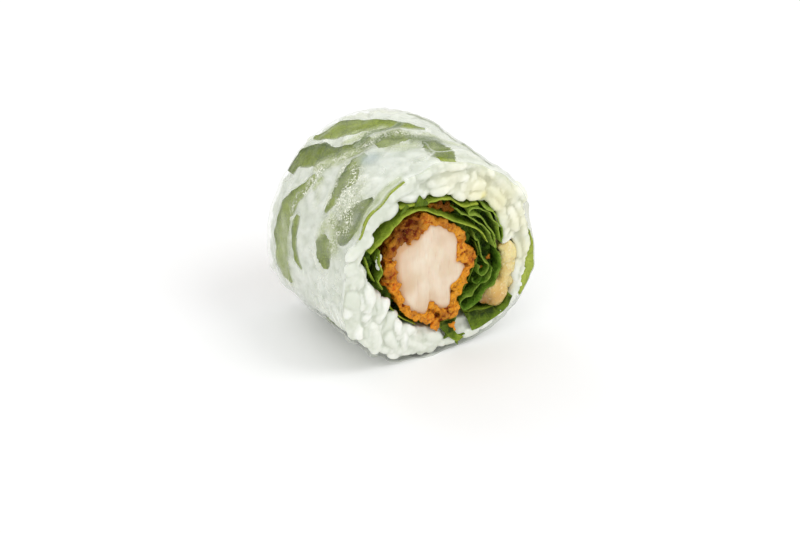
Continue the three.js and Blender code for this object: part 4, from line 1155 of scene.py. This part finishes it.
def film(wrapping):
    """The paper drawn over grains and leaves, with its milkiness, frosting, painted glints, painted grey
    shade and folds kept on its points.
    """
    cover = leaf_cover(wrapping)
    depth = np.maximum(wrapping.depth - FILM_OVER, FILM_LEAST)
    on_paper = place(section_inside(wrapping.angles, depth), wrapping.ys)
    clear = bell(wrapping.round_distance(CLEAR_SPOT["degrees"], CLEAR_SPOT["y"]), CLEAR_SPOT["reach"])
    dips = wrapping.depth - wrapping.blurred(wrapping.depth, 30)
    depth = depth - 0.05 * cover + 0.05 * layered(on_paper, 3.5, 3, 9) + 0.8 * clear * dips
    depth = np.maximum(depth, FILM_LEAST)
    jagged = 0.16 * layered(xyz(wrapping.angles * 20, 0, 0), 3, 3, 5)
    rim = bell(np.arange(FILM_ROWS), 3.0)[:, None]
    back_rim = rim[::-1]
    ys = np.clip(wrapping.ys + rim * jagged - back_rim * jagged, -OUTERMOST["film"], OUTERMOST["film"])
    outer = place(section_inside(wrapping.angles, depth), ys)
    inner = place(section_inside(wrapping.angles, depth + FILM_THICK), ys)
    faces = grid_faces(2 * FILM_ROWS, FILM_COLUMNS, wrap_rows=True, wrap_columns=True)
    milk = 0.36 - 0.3 * clear + 0.08 * lumps(on_paper, 5.0, 21)
    milk = milk * (1 - cover) + (0.06 + wrapping.bands(VEILS)) * cover
    sag = wrapping.depth - wrapping.blurred(wrapping.depth, 2)
    thick = 0.3 * rim * (1 - cover) * (1 - clear) + 0.3 * back_rim
    grids = {
        "milk": np.clip(milk + wrapping.bands(CREASES) + 0.3 * sag + thick, 0.05, 0.75),
        # frost_and_glints marks the frosted bands and where their painted glints go
        "frost_and_glints": wrapping.bands([(run, reach, specks) for run, reach, specks, _ in FROST_AND_GLINTS]),
        "green": wrapping.bands([(run, reach, tint) for run, reach, _, tint in FROST_AND_GLINTS]),
        "grey_shade": wrapping.bands(GREY_SHADE), "fold": wrapping.bands(FOLDS),
    }
    values = {name: np.concatenate([grid, grid[::-1]]).ravel() for name, grid in grids.items()}
    values["skin"] = np.repeat([1.0, 0.0], cover.size)  # only the outer face shows
    points = np.concatenate([outer, inner[::-1]])
    piece = make_piece(
        "rice_paper_film", points, faces, film_finish(), "rice_paper", ["rice_paper"], values)
    piece.visible_shadow = False


# Leaves and lettuce of the filling: paths in the shown cut, run back through the roll

FILLING_LEAVES = {
    "leaf_wrap": {
        "path": [
            (-18.2, 30.3), (-14, 33.3), (-10, 36.4), (-7.5, 37.3), (-4.5, 36.9), (-2, 35.4), (0, 34.3),
            (3, 32.4), (6, 30.6), (9, 28.5), (10.9, 26.5), (11.9, 24.6),
        ],
        "half": 0.2, "front": 18.2, "tone": 0.6, "fade": (1.5, 8),
    },
    "leaf_top": {
        "path": [
            (-10.3, 38.7), (-8, 38.7), (-6, 38.5), (-4, 38.1), (-2, 38.1), (0, 38.1), (2, 37.6), (4, 36.1),
            (5.5, 34.9), (7.5, 34.6), (9.5, 34.3),
        ],
        "half": 0.22, "front": 17.9, "tone": 0.7, "fade": (1.5, 8),
    },
    # Its low tone is painted shade, as this leaf's flat side lies in shadow
    "leaf_left": {
        "path": [(-18.7, 29), (-18.1, 26.9), (-17.3, 24.4), (-16.2, 22.4)], "half": 0.25, "front": 17,
        "tone": 0.2,
    },
    "leaf_blade": {
        "path": [(-15.3, 30), (-15.8, 27.6), (-15.1, 25.4), (-15.7, 23), (-15.1, 20.4)], "half": 0.18,
        "front": 17.9, "tone": 0.3, "ruffle": 0.3,
    },
    # Its low tone is painted shade, as this leaf lies in the shaded gap by the wrap
    "leaf_shade": {
        "path": [(-18, 32.4), (-16.6, 34), (-14.3, 35.4), (-11.9, 36.8)], "half": 0.2, "front": 16.4,
        "tone": 0.15,
    },
    "leaf_under": {
        "path": [(-13.4, 16.6), (-11.5, 13.4), (-8.9, 10.8), (-6.2, 8.9)], "half": 0.2, "front": 17.3,
        "tone": 0.3,
    },
    "leaf_wedge": {
        "path": [(6.6, 7.9), (9, 7.4), (12, 6.9), (14.4, 6.9), (16.6, 7.9), (17.9, 9.8)], "half": 0.16,
        "front": 16.9, "tone": 0.2,
        "flap": [
            ([(6.8, 6.8), (9.2, 6.4), (12.1, 6.2), (14.6, 6.4), (16.8, 7.5), (18, 9.6)], 17.9),
            ([(8, 3.4), (10, 3.6), (12.4, 4.4), (14.8, 5.2), (17.3, 6.6), (18.7, 9)], 18.3),
        ],
    },
    "leaf_tip": {
        "path": [(-0.8, 6.85), (2, 6.95), (4.8, 7)], "half": 0.16, "front": 16.9, "tone": 0.5,
        "flap": [
            ([(-0.1, 6.2), (1.8, 6.1), (3.7, 6.5)], 17.7), ([(0.9, 5), (2, 4.8), (3.2, 5.1)], 18.05),
            ([(2.4, 3.1), (3.4, 3.1), (4.3, 3.4)], 18.25), ([(3.8, 1.9), (4.7, 2), (5.7, 2.6)], 18.3),
        ],
    },
    "lettuce_folds": {
        "path": [
            (3.6, 34.1), (5.2, 32.9), (7.6, 31.2), (9.8, 29.3), (11.8, 26.9), (13.1, 24.3), (13.6, 22.5),
            (14.2, 21.9), (14.6, 22.9), (14.2, 24.8), (13, 27.4), (11.2, 30), (9.2, 31.9), (7.4, 32.8),
            (7.9, 33.4), (9.2, 33.1), (10.9, 32.1), (12.8, 30), (14.2, 27.5), (15, 25.2), (15.2, 23.6),
            (15.8, 22.8), (16.3, 23.7), (16.3, 25.6), (15.4, 28.6), (13.7, 31.5), (11.7, 33.3),
            (10.8, 33.7),
        ],
        "half": 0.15, "front": 18.1, "tone": 0.78, "ruffle": 0.28, "flare": 0.55, "fade": (1.5, 8),
    },
    "lettuce_curl": {
        "path": [
            (9.2, 27), (9.1, 25.7), (10.1, 25.2), (10.8, 23.6), (11, 21.5), (11.9, 19.6), (13.1, 18.1),
            (12.3, 16.6), (10.6, 16.2), (9.4, 17.2), (9.9, 18.9),
        ],
        "half": 0.16, "front": 17.7, "tone": 0.48, "ruffle": 0.35, "flare": -0.4,
    },
    "lettuce_low": {
        "path": [
            (15.2, 20.6), (15.4, 17.5), (14.5, 14.5), (12.5, 12.1), (10, 10.4), (7.6, 9.3), (5.9, 9.6),
            (5.4, 10.9), (6.8, 11.9), (9, 12.1), (11, 13.2), (12.8, 15.3), (13.8, 17.2),
        ],
        "half": 0.16, "front": 17.9, "tone": 0.36, "ruffle": 0.32, "flare": 0.45,
    },
    "leaf_inside": {
        "path": [(9.6, 24.2), (10, 22.6), (10.1, 21.2), (9.6, 19.4), (8.4, 17.1), (7.3, 14.8), (6.5, 13.4)],
        "half": 0.16, "front": 16.9, "tone": 0.05,
    },
    "lettuce_mid": {
        "path": [(9.2, 15.4), (9.1, 14.5), (10.2, 14.2), (11.4, 15.2)], "half": 0.16, "front": 17.2,
        "tone": 0.3,
    },
}
# Torn points of two leaves: both ends of the foot, then the tip
LEAF_SPIKES = {
    "leaf_top": [
        ((-7.0, 38.4), (-3.8, 38.0), (-5.8, 41.3)), ((-5.0, 38.2), (-3.4, 38.0), (-4.4, 39.7)),
        ((-10.8, 37.4), (-8.4, 38.6), (-9.2, 40.0)),
    ],
    "leaf_tip": [
        ((3.0, 3.8), (4.4, 2.4), (6.3, 3.3)), ((2.6, 3.2), (4.4, 2.6), (4.3, 0.9)),
        ((1.6, 5.6), (2.6, 3.6), (0.4, 3.6)),
    ],
}
SPIKE = {"rows": 10, "columns": 8, "tip": 0.94, "out": 18.0, "rise": 0.3, "jag": 0.12, "half": 0.1}
FILLING_REAR = 17.4
# How far behind a ribbon's front and rear edges its rows lie
INSETS = [0, 0.25, 0.5, 0.9, 1.4, 2.0, 2.8, 4.0, 6.0, 9.0]
RIBBON_STEP = 0.32
FLAP_ROWS = 4  # for each edge that a flap is given by
CRUMPLE = {"at": 13.4, "rings": 24, "size": (2.2, 3, 3.2)}


def rows_between(stack, steps):
    """Rows read between the given ones, at fractional row numbers."""
    low = np.minimum(np.floor(steps).astype(int), len(stack) - 2)
    share = (steps - low)[:, None, None]
    return stack[low] * (1 - share) + stack[low + 1] * share


def filling_leaf(name, leaf, material, seed):
    """A fine wavy ribbon; its front edge is ruffled, uneven and paler where it was cut. Its tone is painted
    darker further behind the cut, for shade.
    """
    is_lettuce = name.startswith("lettuce")
    path = np.asarray(leaf["path"], float)
    length = np.linalg.norm(np.diff(path, axis=0), axis=1).sum()
    count = max(14, int(length / RIBBON_STEP))
    line = along_curve(path, count)
    aside = sideways(line)
    run = np.linspace(0, length, count)
    front = leaf["front"] + 0.22 * layered(xyz(run, 0, seed), 3.0, 3)
    if is_lettuce:
        front = front - 0.7 * smooth(lumps(xyz(run, 0, seed), 2.6, 8), 0.1, 0.6)
    front = np.minimum(front, OUTERMOST["leaf"])
    rows, insets = [], []
    for back in (False, True):
        opened = 0.7 + 0.6 * lumps(xyz(run, 0, seed + back), 3.5, 4)
        for inset in INSETS[::-1] if back else INSETS:
            curl = leaf.get("ruffle", 0.12) * (0.35 + 0.65 * math.exp(-inset / 3.0))
            wave = curl * layered(xyz(run, inset * 0.3, seed + back), 1.9, 2, seed)
            wave = wave + leaf.get("flare", 0) * math.exp(-inset / 1.6) * opened
            y = FILLING_REAR - inset if back else inset - front
            rows.append(place_filling(line + aside * wave[:, None], y))
            insets.append(inset)
    if "flap" in leaf:
        edges = [rows[0]] + [place_filling(along_curve(edge, count), -y) for edge, y in leaf["flap"]]
        steps = np.linspace(0, len(edges) - 1, FLAP_ROWS * len(edges))
        flap = rows_between(np.array(edges), steps)[:0:-1]
        wave = lambda j: 0.12 * layered(xyz(run, 0.6 * j, seed), 1.7, 2, 3)
        rows = [row - xyz(0, wave(j), 0) for j, row in enumerate(flap)] + rows
        insets = [0.3 + 0.35 * j for j in range(len(flap))] + insets
    insets = np.array(insets)[:, None]
    rim = np.minimum(insets, np.minimum(run, length - run) + 0.15)
    points, faces = sheet(np.array(rows), leaf["half"] * (0.5 + 0.5 * smooth(rim, 0, 0.5)))
    cut = np.exp(-rim / 0.7) * (0.6 + 0.4 * lumps(xyz(run, 0, seed), 1.8, 5))
    if is_lettuce:
        cut = cut**0.5 * 0.75
    places = xyz(run, insets, seed)
    tone = leaf["tone"] + 0.1 * lumps(places, 1.6, 2) + 0.2 * lumps(places, 4.5, 6)
    tone = tone + 0.42 * cut + (0.08 if is_lettuce else 0.2) * bell(rim, 0.25)
    # Painted shade: darker the further the leaf lies behind the cut
    tone = tone - 0.3 * smooth(insets, *leaf.get("fade", (0.6, 4.5)))
    values = {"tone": np.tile(np.clip(tone, 0, 1).ravel(), 2)}
    slot = "lettuce" if is_lettuce else "herb_leaf"
    make_piece(name + "_sheet", points, faces, material, slot, [name], values)


def leaf_spikes(material):
    """Torn points of the leaf tips, which stand over the rice at the shown cut."""
    for name, spikes in LEAF_SPIKES.items():
        points, faces = np.zeros((0, 3)), []
        for left, right, tip in spikes:
            across = np.linspace(0, 1, SPIKE["columns"])[:, None]
            foot = np.array(left) + (np.array(right) - left) * across
            rows = []
            for share in np.linspace(0, SPIKE["tip"], SPIKE["rows"]):
                row = foot + (tip - foot) * share
                jag = SPIKE["jag"] * lumps(xyz(row[:, 0], row[:, 1], 0), 0.8, 4)
                y = -SPIKE["out"] - SPIKE["rise"] * share - 0.15 * jag
                rows.append(place_filling(row + jag[:, None], y))
            blade, blade_faces = sheet(np.array(rows), SPIKE["half"])
            faces += shifted(blade_faces, len(points))
            points = np.concatenate([points, blade])
        values = {"tone": np.clip(0.3 + 0.15 * lumps(points, 1.2, 9), 0, 1)}
        make_piece(name + "_spikes", points, faces, material, "herb_leaf", [name], values)


def lettuce_crumple(material):
    """The bunched lettuce deep between the folds, seen only as dark creases; its tone is painted dark for
    shade, lighter on the crests nearest the cut.
    """
    around, aim = round_angles(BODY_SIDES)
    outer = polar_reach(HOLE_OUTLINE, HOLE_CENTRE, around) + 0.3
    rings, tones = [], []
    for side in (-1, 1):
        for share in np.linspace(0.03, 1, CRUMPLE["rings"])[::-side]:
            flat = HOLE_CENTRE + aim * (outer * share)[:, None]
            probe = xyz(flat[:, 0], side * 5, flat[:, 1])
            folds = 1 - np.abs(layered(probe, CRUMPLE["size"], 3, 91)) * 1.6
            rings.append(place_filling(flat, side * (CRUMPLE["at"] + 1.5 * folds)))
            # Painted shade: dark in the hollows, lighter on the crests nearest the cut
            tones.append(0.1 + 0.4 * smooth(folds, 0.6, 1.0))
    values = {"tone": np.array(tones).ravel()}
    make_piece("lettuce_crumple", *capped_tube(rings), material, "lettuce", ["lettuce_mid"], values)


# Breaded chicken

CHICKEN_CENTRE = np.array([-3.0, 22.0])
CHICKEN_END = 18.1
REAR_LIFT = 0.3  # the rear end lies this much further in
CRUST_OUTLINE = [
    (-13.3, 30.9), (-14, 26.2), (-14.3, 22.9), (-13.6, 20.4), (-12, 18.2), (-11.3, 15.3), (-9.6, 13),
    (-7.1, 11), (-4.7, 9.4), (-3.3, 7.7), (-1.6, 7.5), (1.2, 7.8), (3.8, 7.7), (4.8, 8.8), (3.6, 10.7),
    (2.9, 11.7), (5.4, 13.4), (6.1, 15), (7.5, 18.2), (8.5, 18.9), (9.1, 20.7), (8.8, 23.5), (6.9, 25),
    (6.4, 28.5), (4.3, 30), (1.5, 31.9), (-1.8, 34.4), (-4.1, 36), (-6.4, 36), (-8.7, 35.1), (-10.6, 34.3),
    (-12.2, 32.5),
]
MEAT_OUTLINE = [
    (-11.7, 28.6), (-11.4, 25.4), (-10.9, 21.6), (-10.3, 18.4), (-8.9, 15), (-7.1, 12.5), (-4.9, 10.8),
    (-3.7, 11.2), (-3, 13.7), (-0.7, 12), (0.7, 11.1), (2.2, 11.2), (2.5, 12.9), (2.3, 16.2), (4.2, 17.4),
    (5.7, 19.7), (5.2, 21), (3.8, 22.1), (4.1, 26.7), (3.6, 28.9), (1.9, 30.7), (-0.6, 32.3), (-2.7, 33),
    (-3.7, 32.1), (-6.9, 30.1), (-10.6, 29.3),
]
FRIED = (204, 98, 4)
# Where the crust is another colour, the near-black one under the top leaf at x 1.6 being painted shade: x, z,
# reach and screen colour
CRUST_PATCHES = [
    (4.2, 14.6, 2.6, (238, 164, 18)), (-9.8, 32, 2.8, (98, 25, 8)), (-6.8, 33.2, 2.0, (112, 32, 10)),
    (-5, 35, 1.6, (196, 84, 14)), (-4.4, 32.6, 1.0, (240, 132, 20)), (-8, 30.6, 0.9, (228, 112, 16)),
    (-13, 26, 2.2, (190, 86, 14)), (-13.4, 22.8, 1.2, (150, 44, 12)), (-13, 20.2, 1.7, (246, 116, 8)),
    (-10, 14.2, 2.6, (226, 132, 20)), (-5.6, 10.4, 2.2, (206, 102, 18)), (-2.6, 8, 1.6, (234, 112, 14)),
    (-3, 12, 1.6, (226, 142, 20)), (1, 9, 1.8, (160, 76, 14)), (4, 9.4, 1.6, (240, 150, 34)),
    (7.4, 21, 2.6, (204, 104, 26)), (5.4, 25, 2.0, (206, 108, 18)), (3.6, 29.8, 2.0, (160, 74, 12)),
    (0.5, 32.4, 1.8, (206, 104, 18)), (1.6, 35.4, 2.4, (84, 22, 8)), (12.6, 18.4, 2, (190, 100, 40)),
]
# Where the crust is darkest, the spot under the top leaf at x 1.6 being painted shade: x, z, reach and
# strength
DARKEST_CRUST = [
    (-9.8, 32, 3.2, 1.0), (-6.6, 33.6, 2.4, 0.9), (-12.4, 28.6, 1.8, 0.7), (-13.2, 22.6, 1.7, 0.6),
    (1.6, 35.4, 4, 0.9), (0.6, 9, 1.3, 0.5), (8, 22.8, 1.3, 0.5), (6, 27, 1, 0.4), (12.6, 18.4, 2.5, 0.5),
]
# Bits of crust that came off: x, z, how far out, reach
LOOSE_CRUST = [
    (0.6, 34.9, 15.4, 1.3), (2.6, 34.0, 15.3, 1.2), (-1.4, 35.6, 15.7, 0.9), (4.0, 33.3, 15.2, 0.9),
    (2.9, 5.9, 17.7, 0.9), (3.2, 4.7, 17.9, 0.6), (13.2, 19.2, 16.0, 0.7), (11.6, 17.2, 16.0, 0.5),
    (-1.6, 7.4, 17.7, 1.2), (-1.2, 6.6, 17.8, 0.8),
]
LOOSE_CRUMBS = 9  # in each of them
CRUMBS = 760
CRUST_VOXEL = 0.31
CRUST_SIDES = 420
CRUST_STEPS = 600
CRUST_FACE_RINGS = 15
CRUST_WALL_STEP = 0.6
CRUST_HOLLOWS = {"passes": 10, "span": (-0.16, 0.2)}
MEAT_RINGS = 26


def chicken_end(side):
    return CHICKEN_END - (REAR_LIFT if side > 0 else 0)


def fried_colour(points):
    """The crust's colour at each point, blended from the patches that it lies in, one of them painted shade.
    """
    flat = points[..., [0, 2]]
    total = np.full(flat.shape[:-1], 0.35)
    tone = np.array(colour(*FRIED)) * total[..., None]
    for x, z, reach, patch in CRUST_PATCHES:
        weight = 1.6 * bell(np.linalg.norm(flat - (x, z), axis=-1), reach)
        total = total + weight
        tone = tone + np.array(colour(*patch)) * weight[..., None]
    tone = tone / total[..., None]
    tone[..., 3] = 1
    return tone


def chicken_meat():
    """The meat, a little fibrous at both cuts, browner towards its crust, with painted shade towards its
    left, top and bottom.
    """
    around, aim = round_angles(BODY_SIDES)
    edge = polar_reach(MEAT_OUTLINE, CHICKEN_CENTRE, around) + 0.5
    rings, rim = [], []
    for side in (-1, 1):
        for share in np.linspace(0.02, 1, MEAT_RINGS)[::-side]:
            flat = CHICKEN_CENTRE + aim * (edge * share)[:, None]
            probe = xyz(flat[:, 0], side, flat[:, 1])
            fibres = layered(probe, (1.2, 1, 5), 3, 31)
            swell = layered(probe, (5, 1, 6), 2, 33)
            out = chicken_end(side) + 0.1 * fibres + 0.16 * swell - 0.5 * smooth(share, 0.86, 1.0)
            rings.append(place_filling(flat, side * np.minimum(out, OUTERMOST["meat"])))
            # Painted shade: darker in the meat's outer half, less so on its right
            shaded = 0.45 * smooth(share, 0.3, 0.9) * (1 - 0.7 * np.maximum(aim[:, 0], 0))
            shaded = shaded * (1 + lumps(probe, 4, 35))
            rim.append(np.clip(0.85 * smooth(share, 0.8, 1.0) + shaded, 0, 1))
    values = {"rim": np.array(rim).ravel()}
    make_piece("chicken_meat", *capped_tube(rings), meat_finish(), "chicken", ["breaded_chicken"], values)


def crust_rings():
    """The craggy shell round the meat, as rings from one cut to the other."""
    around, aim = round_angles(CRUST_SIDES)
    outer = polar_reach(CRUST_OUTLINE, CHICKEN_CENTRE, around, CRUST_STEPS)
    inner = polar_reach(MEAT_OUTLINE, CHICKEN_CENTRE, around)
    inner = inner + 0.45 * layered(xyz(aim[:, 0] * 12, aim[:, 1] * 12, 0), 1.6, 3, 41)
    ring = lambda radius, y: place_filling(CHICKEN_CENTRE + aim * radius[:, None], y)
    crags = lambda radius, y, *noise: np.abs(layered(xyz(aim[:, 0] * radius, y, aim[:, 1] * radius), *noise))
    rings = []
    for side in (-1, 1):
        face, wall = [], []
        for share in np.linspace(0, 1, CRUST_FACE_RINGS):
            radius = inner + (outer - 0.35 - inner) * share
            out = chicken_end(side) - 1.7 + 2.3 * crags(radius, side * 3, 1.7, 3, 43)
            out = out - 0.7 * smooth(share, 0.8, 1) ** 2 + 0.3 * (share == 0)
            face.append(ring(radius, side * np.minimum(out, OUTERMOST["crust"])))
        for y in np.arange(0, CHICKEN_END - 0.8, CRUST_WALL_STEP):
            wall.append(ring(outer - 0.95 + crags(outer, side * y, 2.0, 3, 47), side * y))
        rings += face + wall[:0:-1] if side < 0 else wall + face[::-1]
    return np.array(rings)


def crumb_template():
    """A small angular crumb of twenty faces."""
    golden = (1 + 5**0.5) / 2
    corners = [(0, a, b * golden) for a in (-1, 1) for b in (-1, 1)]
    corners += [(a, b * golden, 0) for a in (-1, 1) for b in (-1, 1)]
    corners += [(b * golden, 0, a) for a in (-1, 1) for b in (-1, 1)]
    corners = np.array(corners, float) / math.hypot(1, golden)
    faces = []
    edge = 2 / math.hypot(1, golden) * 1.01
    near = np.linalg.norm(corners[:, None] - corners, axis=-1) < edge
    for a, b, c in itertools.combinations(range(len(corners)), 3):
        if near[a, b] and near[b, c] and near[a, c]:
            outward = np.cross(corners[b] - corners[a], corners[c] - corners[a]) @ corners[a] > 0
            faces.append([a, b, c] if outward else [a, c, b])
    return corners, faces


def tumbled(points, random):
    """Points made a little uneven and turned a random way."""
    turn, _ = np.linalg.qr(random.normal(size=(3, 3)))
    turn[:, 0] *= np.sign(np.linalg.det(turn))
    return (points * (1 + random.uniform(-0.25, 0.25, (len(points), 1)))) @ turn.T


def crumbs(random):
    """Crumbs scattered on the crust at both cuts, thickest at its outer edge, and the loose bits."""
    template, faces = crumb_template()
    angles = random.uniform(0, TURN, CRUMBS)
    low = polar_reach(MEAT_OUTLINE, CHICKEN_CENTRE, angles)
    high = polar_reach(CRUST_OUTLINE, CHICKEN_CENTRE, angles, CRUST_STEPS)
    points = []
    for index, angle in enumerate(angles):
        side = -1 if random.random() < 0.62 else 1
        share = random.beta(1.6, 1.1)
        across = 0.35 + 1.15 * random.beta(1, 2.4)
        size = across * np.array([random.uniform(0.4, 0.9), random.uniform(0.6, 1), 1.25])
        radius = low[index] + (high[index] - low[index] - 0.3) * share
        out = chicken_end(side) - 0.45 + random.uniform(-0.7, 0.4) - 1.3 * max(0, share - 0.85)
        out = min(out, OUTERMOST["crumb"] - size.max() * 0.6)
        flat = CHICKEN_CENTRE + radius * np.array([math.cos(angle), math.sin(angle)])
        points.append(place_filling(flat, side * out) + tumbled(template * size, random))
    for x, z, out, reach in LOOSE_CRUST:
        for _ in range(LOOSE_CRUMBS):
            flat = np.array([x, z]) + random.uniform(-reach, reach, 2) * 0.8
            size = reach * np.array([random.uniform(*span) for span in ((0.3, 0.6), (0.3, 0.6), (0.4, 0.8))])
            points.append(place_filling(flat, -out) + tumbled(template * size, random))
    all_faces = [face for index in range(len(points)) for face in shifted(faces, len(template) * index)]
    return np.concatenate(points), all_faces


def chicken_crust():
    """The shell with its crumbs baked into one rough body."""
    rings = crust_rings()
    count, sides = rings.shape[:2]
    faces = grid_faces(count, sides, wrap_rows=True, wrap_columns=True)
    scattered, scattered_faces = crumbs(np.random.default_rng(SEEDS["crumbs"]))
    faces += shifted(scattered_faces, count * sides)
    points = np.concatenate([rings.reshape(-1, 3), scattered])
    piece = make_piece("chicken_crust", points, faces, crust_finish(), "chicken", ["breaded_chicken"])
    fuse(piece, CRUST_VOXEL)
    points = piece_points(piece)
    add_value(piece.data, "fried", fried_colour(points))
    # hollow carries painted shade into the crust's hollows and painted light onto its crests
    hollow = smooth(hollows(piece, CRUST_HOLLOWS["passes"]), *CRUST_HOLLOWS["span"])
    add_value(piece.data, "hollow", hollow)
    # Darkest crust, painted shade under the top leaf
    add_value(piece.data, "darkest_crust", patches(points, DARKEST_CRUST))


# Dressing

DRESSING_OUTLINE = [
    (16.7, 21.8), (18.4, 21.6), (19.7, 18.5), (19.8, 16), (19, 13.2), (18, 11), (16.7, 8.9), (14.6, 7.8),
    (12.2, 7.9), (10.9, 8.7), (11.7, 9.9), (13.8, 11.1), (15.5, 13), (16.4, 15.5), (16.5, 18.6),
]
DRESSING_CENTRE = np.array([16.9, 12.9])
DRESSING_SIDES = 60
DRESSING_VOXEL = 0.32
# The line's rings: where each lies and how large it is
DRESSING_RINGS = [(-17.5, 0.5), (-17.2, 0.8), (-16.6, 0.95)]
DRESSING_RINGS += [(y, 1) for y in np.linspace(-15.5, 15.5, 32)]
DRESSING_RINGS += [(16.4, 0.9), (16.9, 0.6)]
DROP_SIDES = (20, 14)
# Lumps on both ends: x, z, y, reach across, up and along
DRESSING_DROPS = [
    (15.1, 10.0, 16.6, 3.1, 3.4, 1.7), (12.3, 9.0, 16.3, 1.9, 1.3, 1.3), (17.0, 12.4, 16.2, 1.5, 1.9, 1.5),
    (18.2, 18.2, 16.4, 2.3, 3.6, 1.7), (17.7, 14.8, 16.4, 1.8, 1.6, 1.4), (17.6, 20.9, 16.3, 1.9, 1.4, 1.3),
    (19.2, 15.0, 16.2, 1.5, 2.2, 1.3), (19.0, 12.0, 15.8, 1.7, 2.2, 1.3),
]
# Where the dressing is browner (tan), and where its drop gets painted shade on the lower left (shade): x, z
# and reach
DRESSING_TAN = (15.0, 10.0, 2.8)
DRESSING_SHADE = (11.8, 8.6, 2.0)


def dressing():
    """The line of dressing with its lumps at both cuts."""
    outline = along_curve(DRESSING_OUTLINE, DRESSING_SIDES, True)
    rings = []
    for y, size in DRESSING_RINGS:
        lump = size * (0.95 + 0.07 * lumps(xyz(outline[:, 0], y, outline[:, 1]), 3.2, 51))
        rings.append(place_filling(DRESSING_CENTRE + (outline - DRESSING_CENTRE) * lump[:, None], y))
    points, faces = capped_tube(rings)
    template, ball = ball_template(*DROP_SIDES, lambda height: np.sqrt(1 - height**2))
    for x, z, out, across, up, along in DRESSING_DROPS:
        for side in (-1, 1):
            faces += shifted(ball, len(points))
            drop = place_filling(np.array([x, z]), side * out) + template * (across, along, up)
            points = np.concatenate([points, drop])
    piece = make_piece("dressing_line", points, faces, dressing_finish(), "dressing", ["dressing"])
    fuse(piece, DRESSING_VOXEL, 4)
    sink(piece, 0.4 * smooth(lumps(piece_points(piece), 1.7, 77), -0.1, 0.7))
    at = piece_points(piece)[:, [0, 2]]
    # tan is the dressing's browner colour; shade is painted shade on the drop's lower left
    for name, (x, z, reach) in (("tan", DRESSING_TAN), ("shade", DRESSING_SHADE)):
        add_value(piece.data, name, bell(np.linalg.norm(at - (x, z), axis=1), reach))


# Stage: sizes and places in metres

FLOOR_HALF = 3
LIGHTS_AIM = (0, 0, 0.02)
# Place, size and power of each light
LIGHTS = {
    "key": ((0.35, -0.45, 0.75), 0.45, 2.2),
    "fill": ((-0.7, -0.35, 0.5), 0.6, 1.0),
    "back": ((-0.1, 0.7, 0.6), 0.5, 0.9),
}
WORLD_STRENGTH = 0.8


def put_in_scene(name, data, at, target):
    """A camera or light at a place, turned towards its target."""
    thing = bpy.data.objects.new(name, data)
    thing.location = at
    thing.rotation_euler = (Vector(target) - thing.location).to_track_quat("-Z", "Y").to_euler()
    bpy.context.scene.collection.objects.link(thing)
    return thing


def add_camera():
    data = bpy.data.cameras.new("camera")
    data.lens = CAMERA_LENS
    data.sensor_width = CAMERA_SENSOR
    data.clip_start = 0.01
    camera = put_in_scene("camera", data, Vector(CAMERA_AT) * MM, Vector(CAMERA_AIM) * MM)
    bpy.context.scene.camera = camera


def add_stage():
    mesh = bpy.data.meshes.new("floor")
    corners = [(x * FLOOR_HALF, y * FLOOR_HALF, 0) for x, y in ((-1, -1), (1, -1), (1, 1), (-1, 1))]
    mesh.from_pydata(corners, [], [(0, 1, 2, 3)])
    mesh.materials.append(floor_finish())
    floor = bpy.data.objects.new("floor", mesh)
    bpy.context.scene.collection.objects.link(floor)
    world = bpy.data.worlds.new("studio")
    world.use_nodes = True
    background = world.node_tree.nodes["Background"]
    background.inputs["Color"].default_value = (1, 1, 1, 1)
    background.inputs["Strength"].default_value = WORLD_STRENGTH
    bpy.context.scene.world = world
    for name, (at, size, power) in LIGHTS.items():
        data = bpy.data.lights.new(name, "AREA")
        data.shape = "DISK"
        data.size = size
        data.energy = power
        put_in_scene(name, data, at, LIGHTS_AIM)
    view = bpy.context.scene.view_settings
    view.view_transform = "Standard"
    view.look = "None"
    view.exposure = 0.0


def build():
    add_camera()
    add_stage()
    wrapping = Wrapping(*rice())
    herb = leaf_finish("herb_leaf", (48, 66, 12), (120, 148, 38), (186, 204, 76))
    lettuce = leaf_finish("lettuce_leaf", (34, 58, 10), (112, 156, 44), (186, 210, 92), 0.8, 0.8, 0.42)
    covered = leaf_finish("herb_leaf_covered", (84, 104, 30), (134, 150, 52), (174, 188, 84))
    paper_leaves(wrapping, covered)
    film(wrapping)
    for seed, (name, leaf) in enumerate(FILLING_LEAVES.items(), 60):
        filling_leaf(name, leaf, lettuce if name.startswith("lettuce") else herb, seed)
    leaf_spikes(herb)
    lettuce_crumple(lettuce)
    chicken_meat()
    chicken_crust()
    dressing()


build()
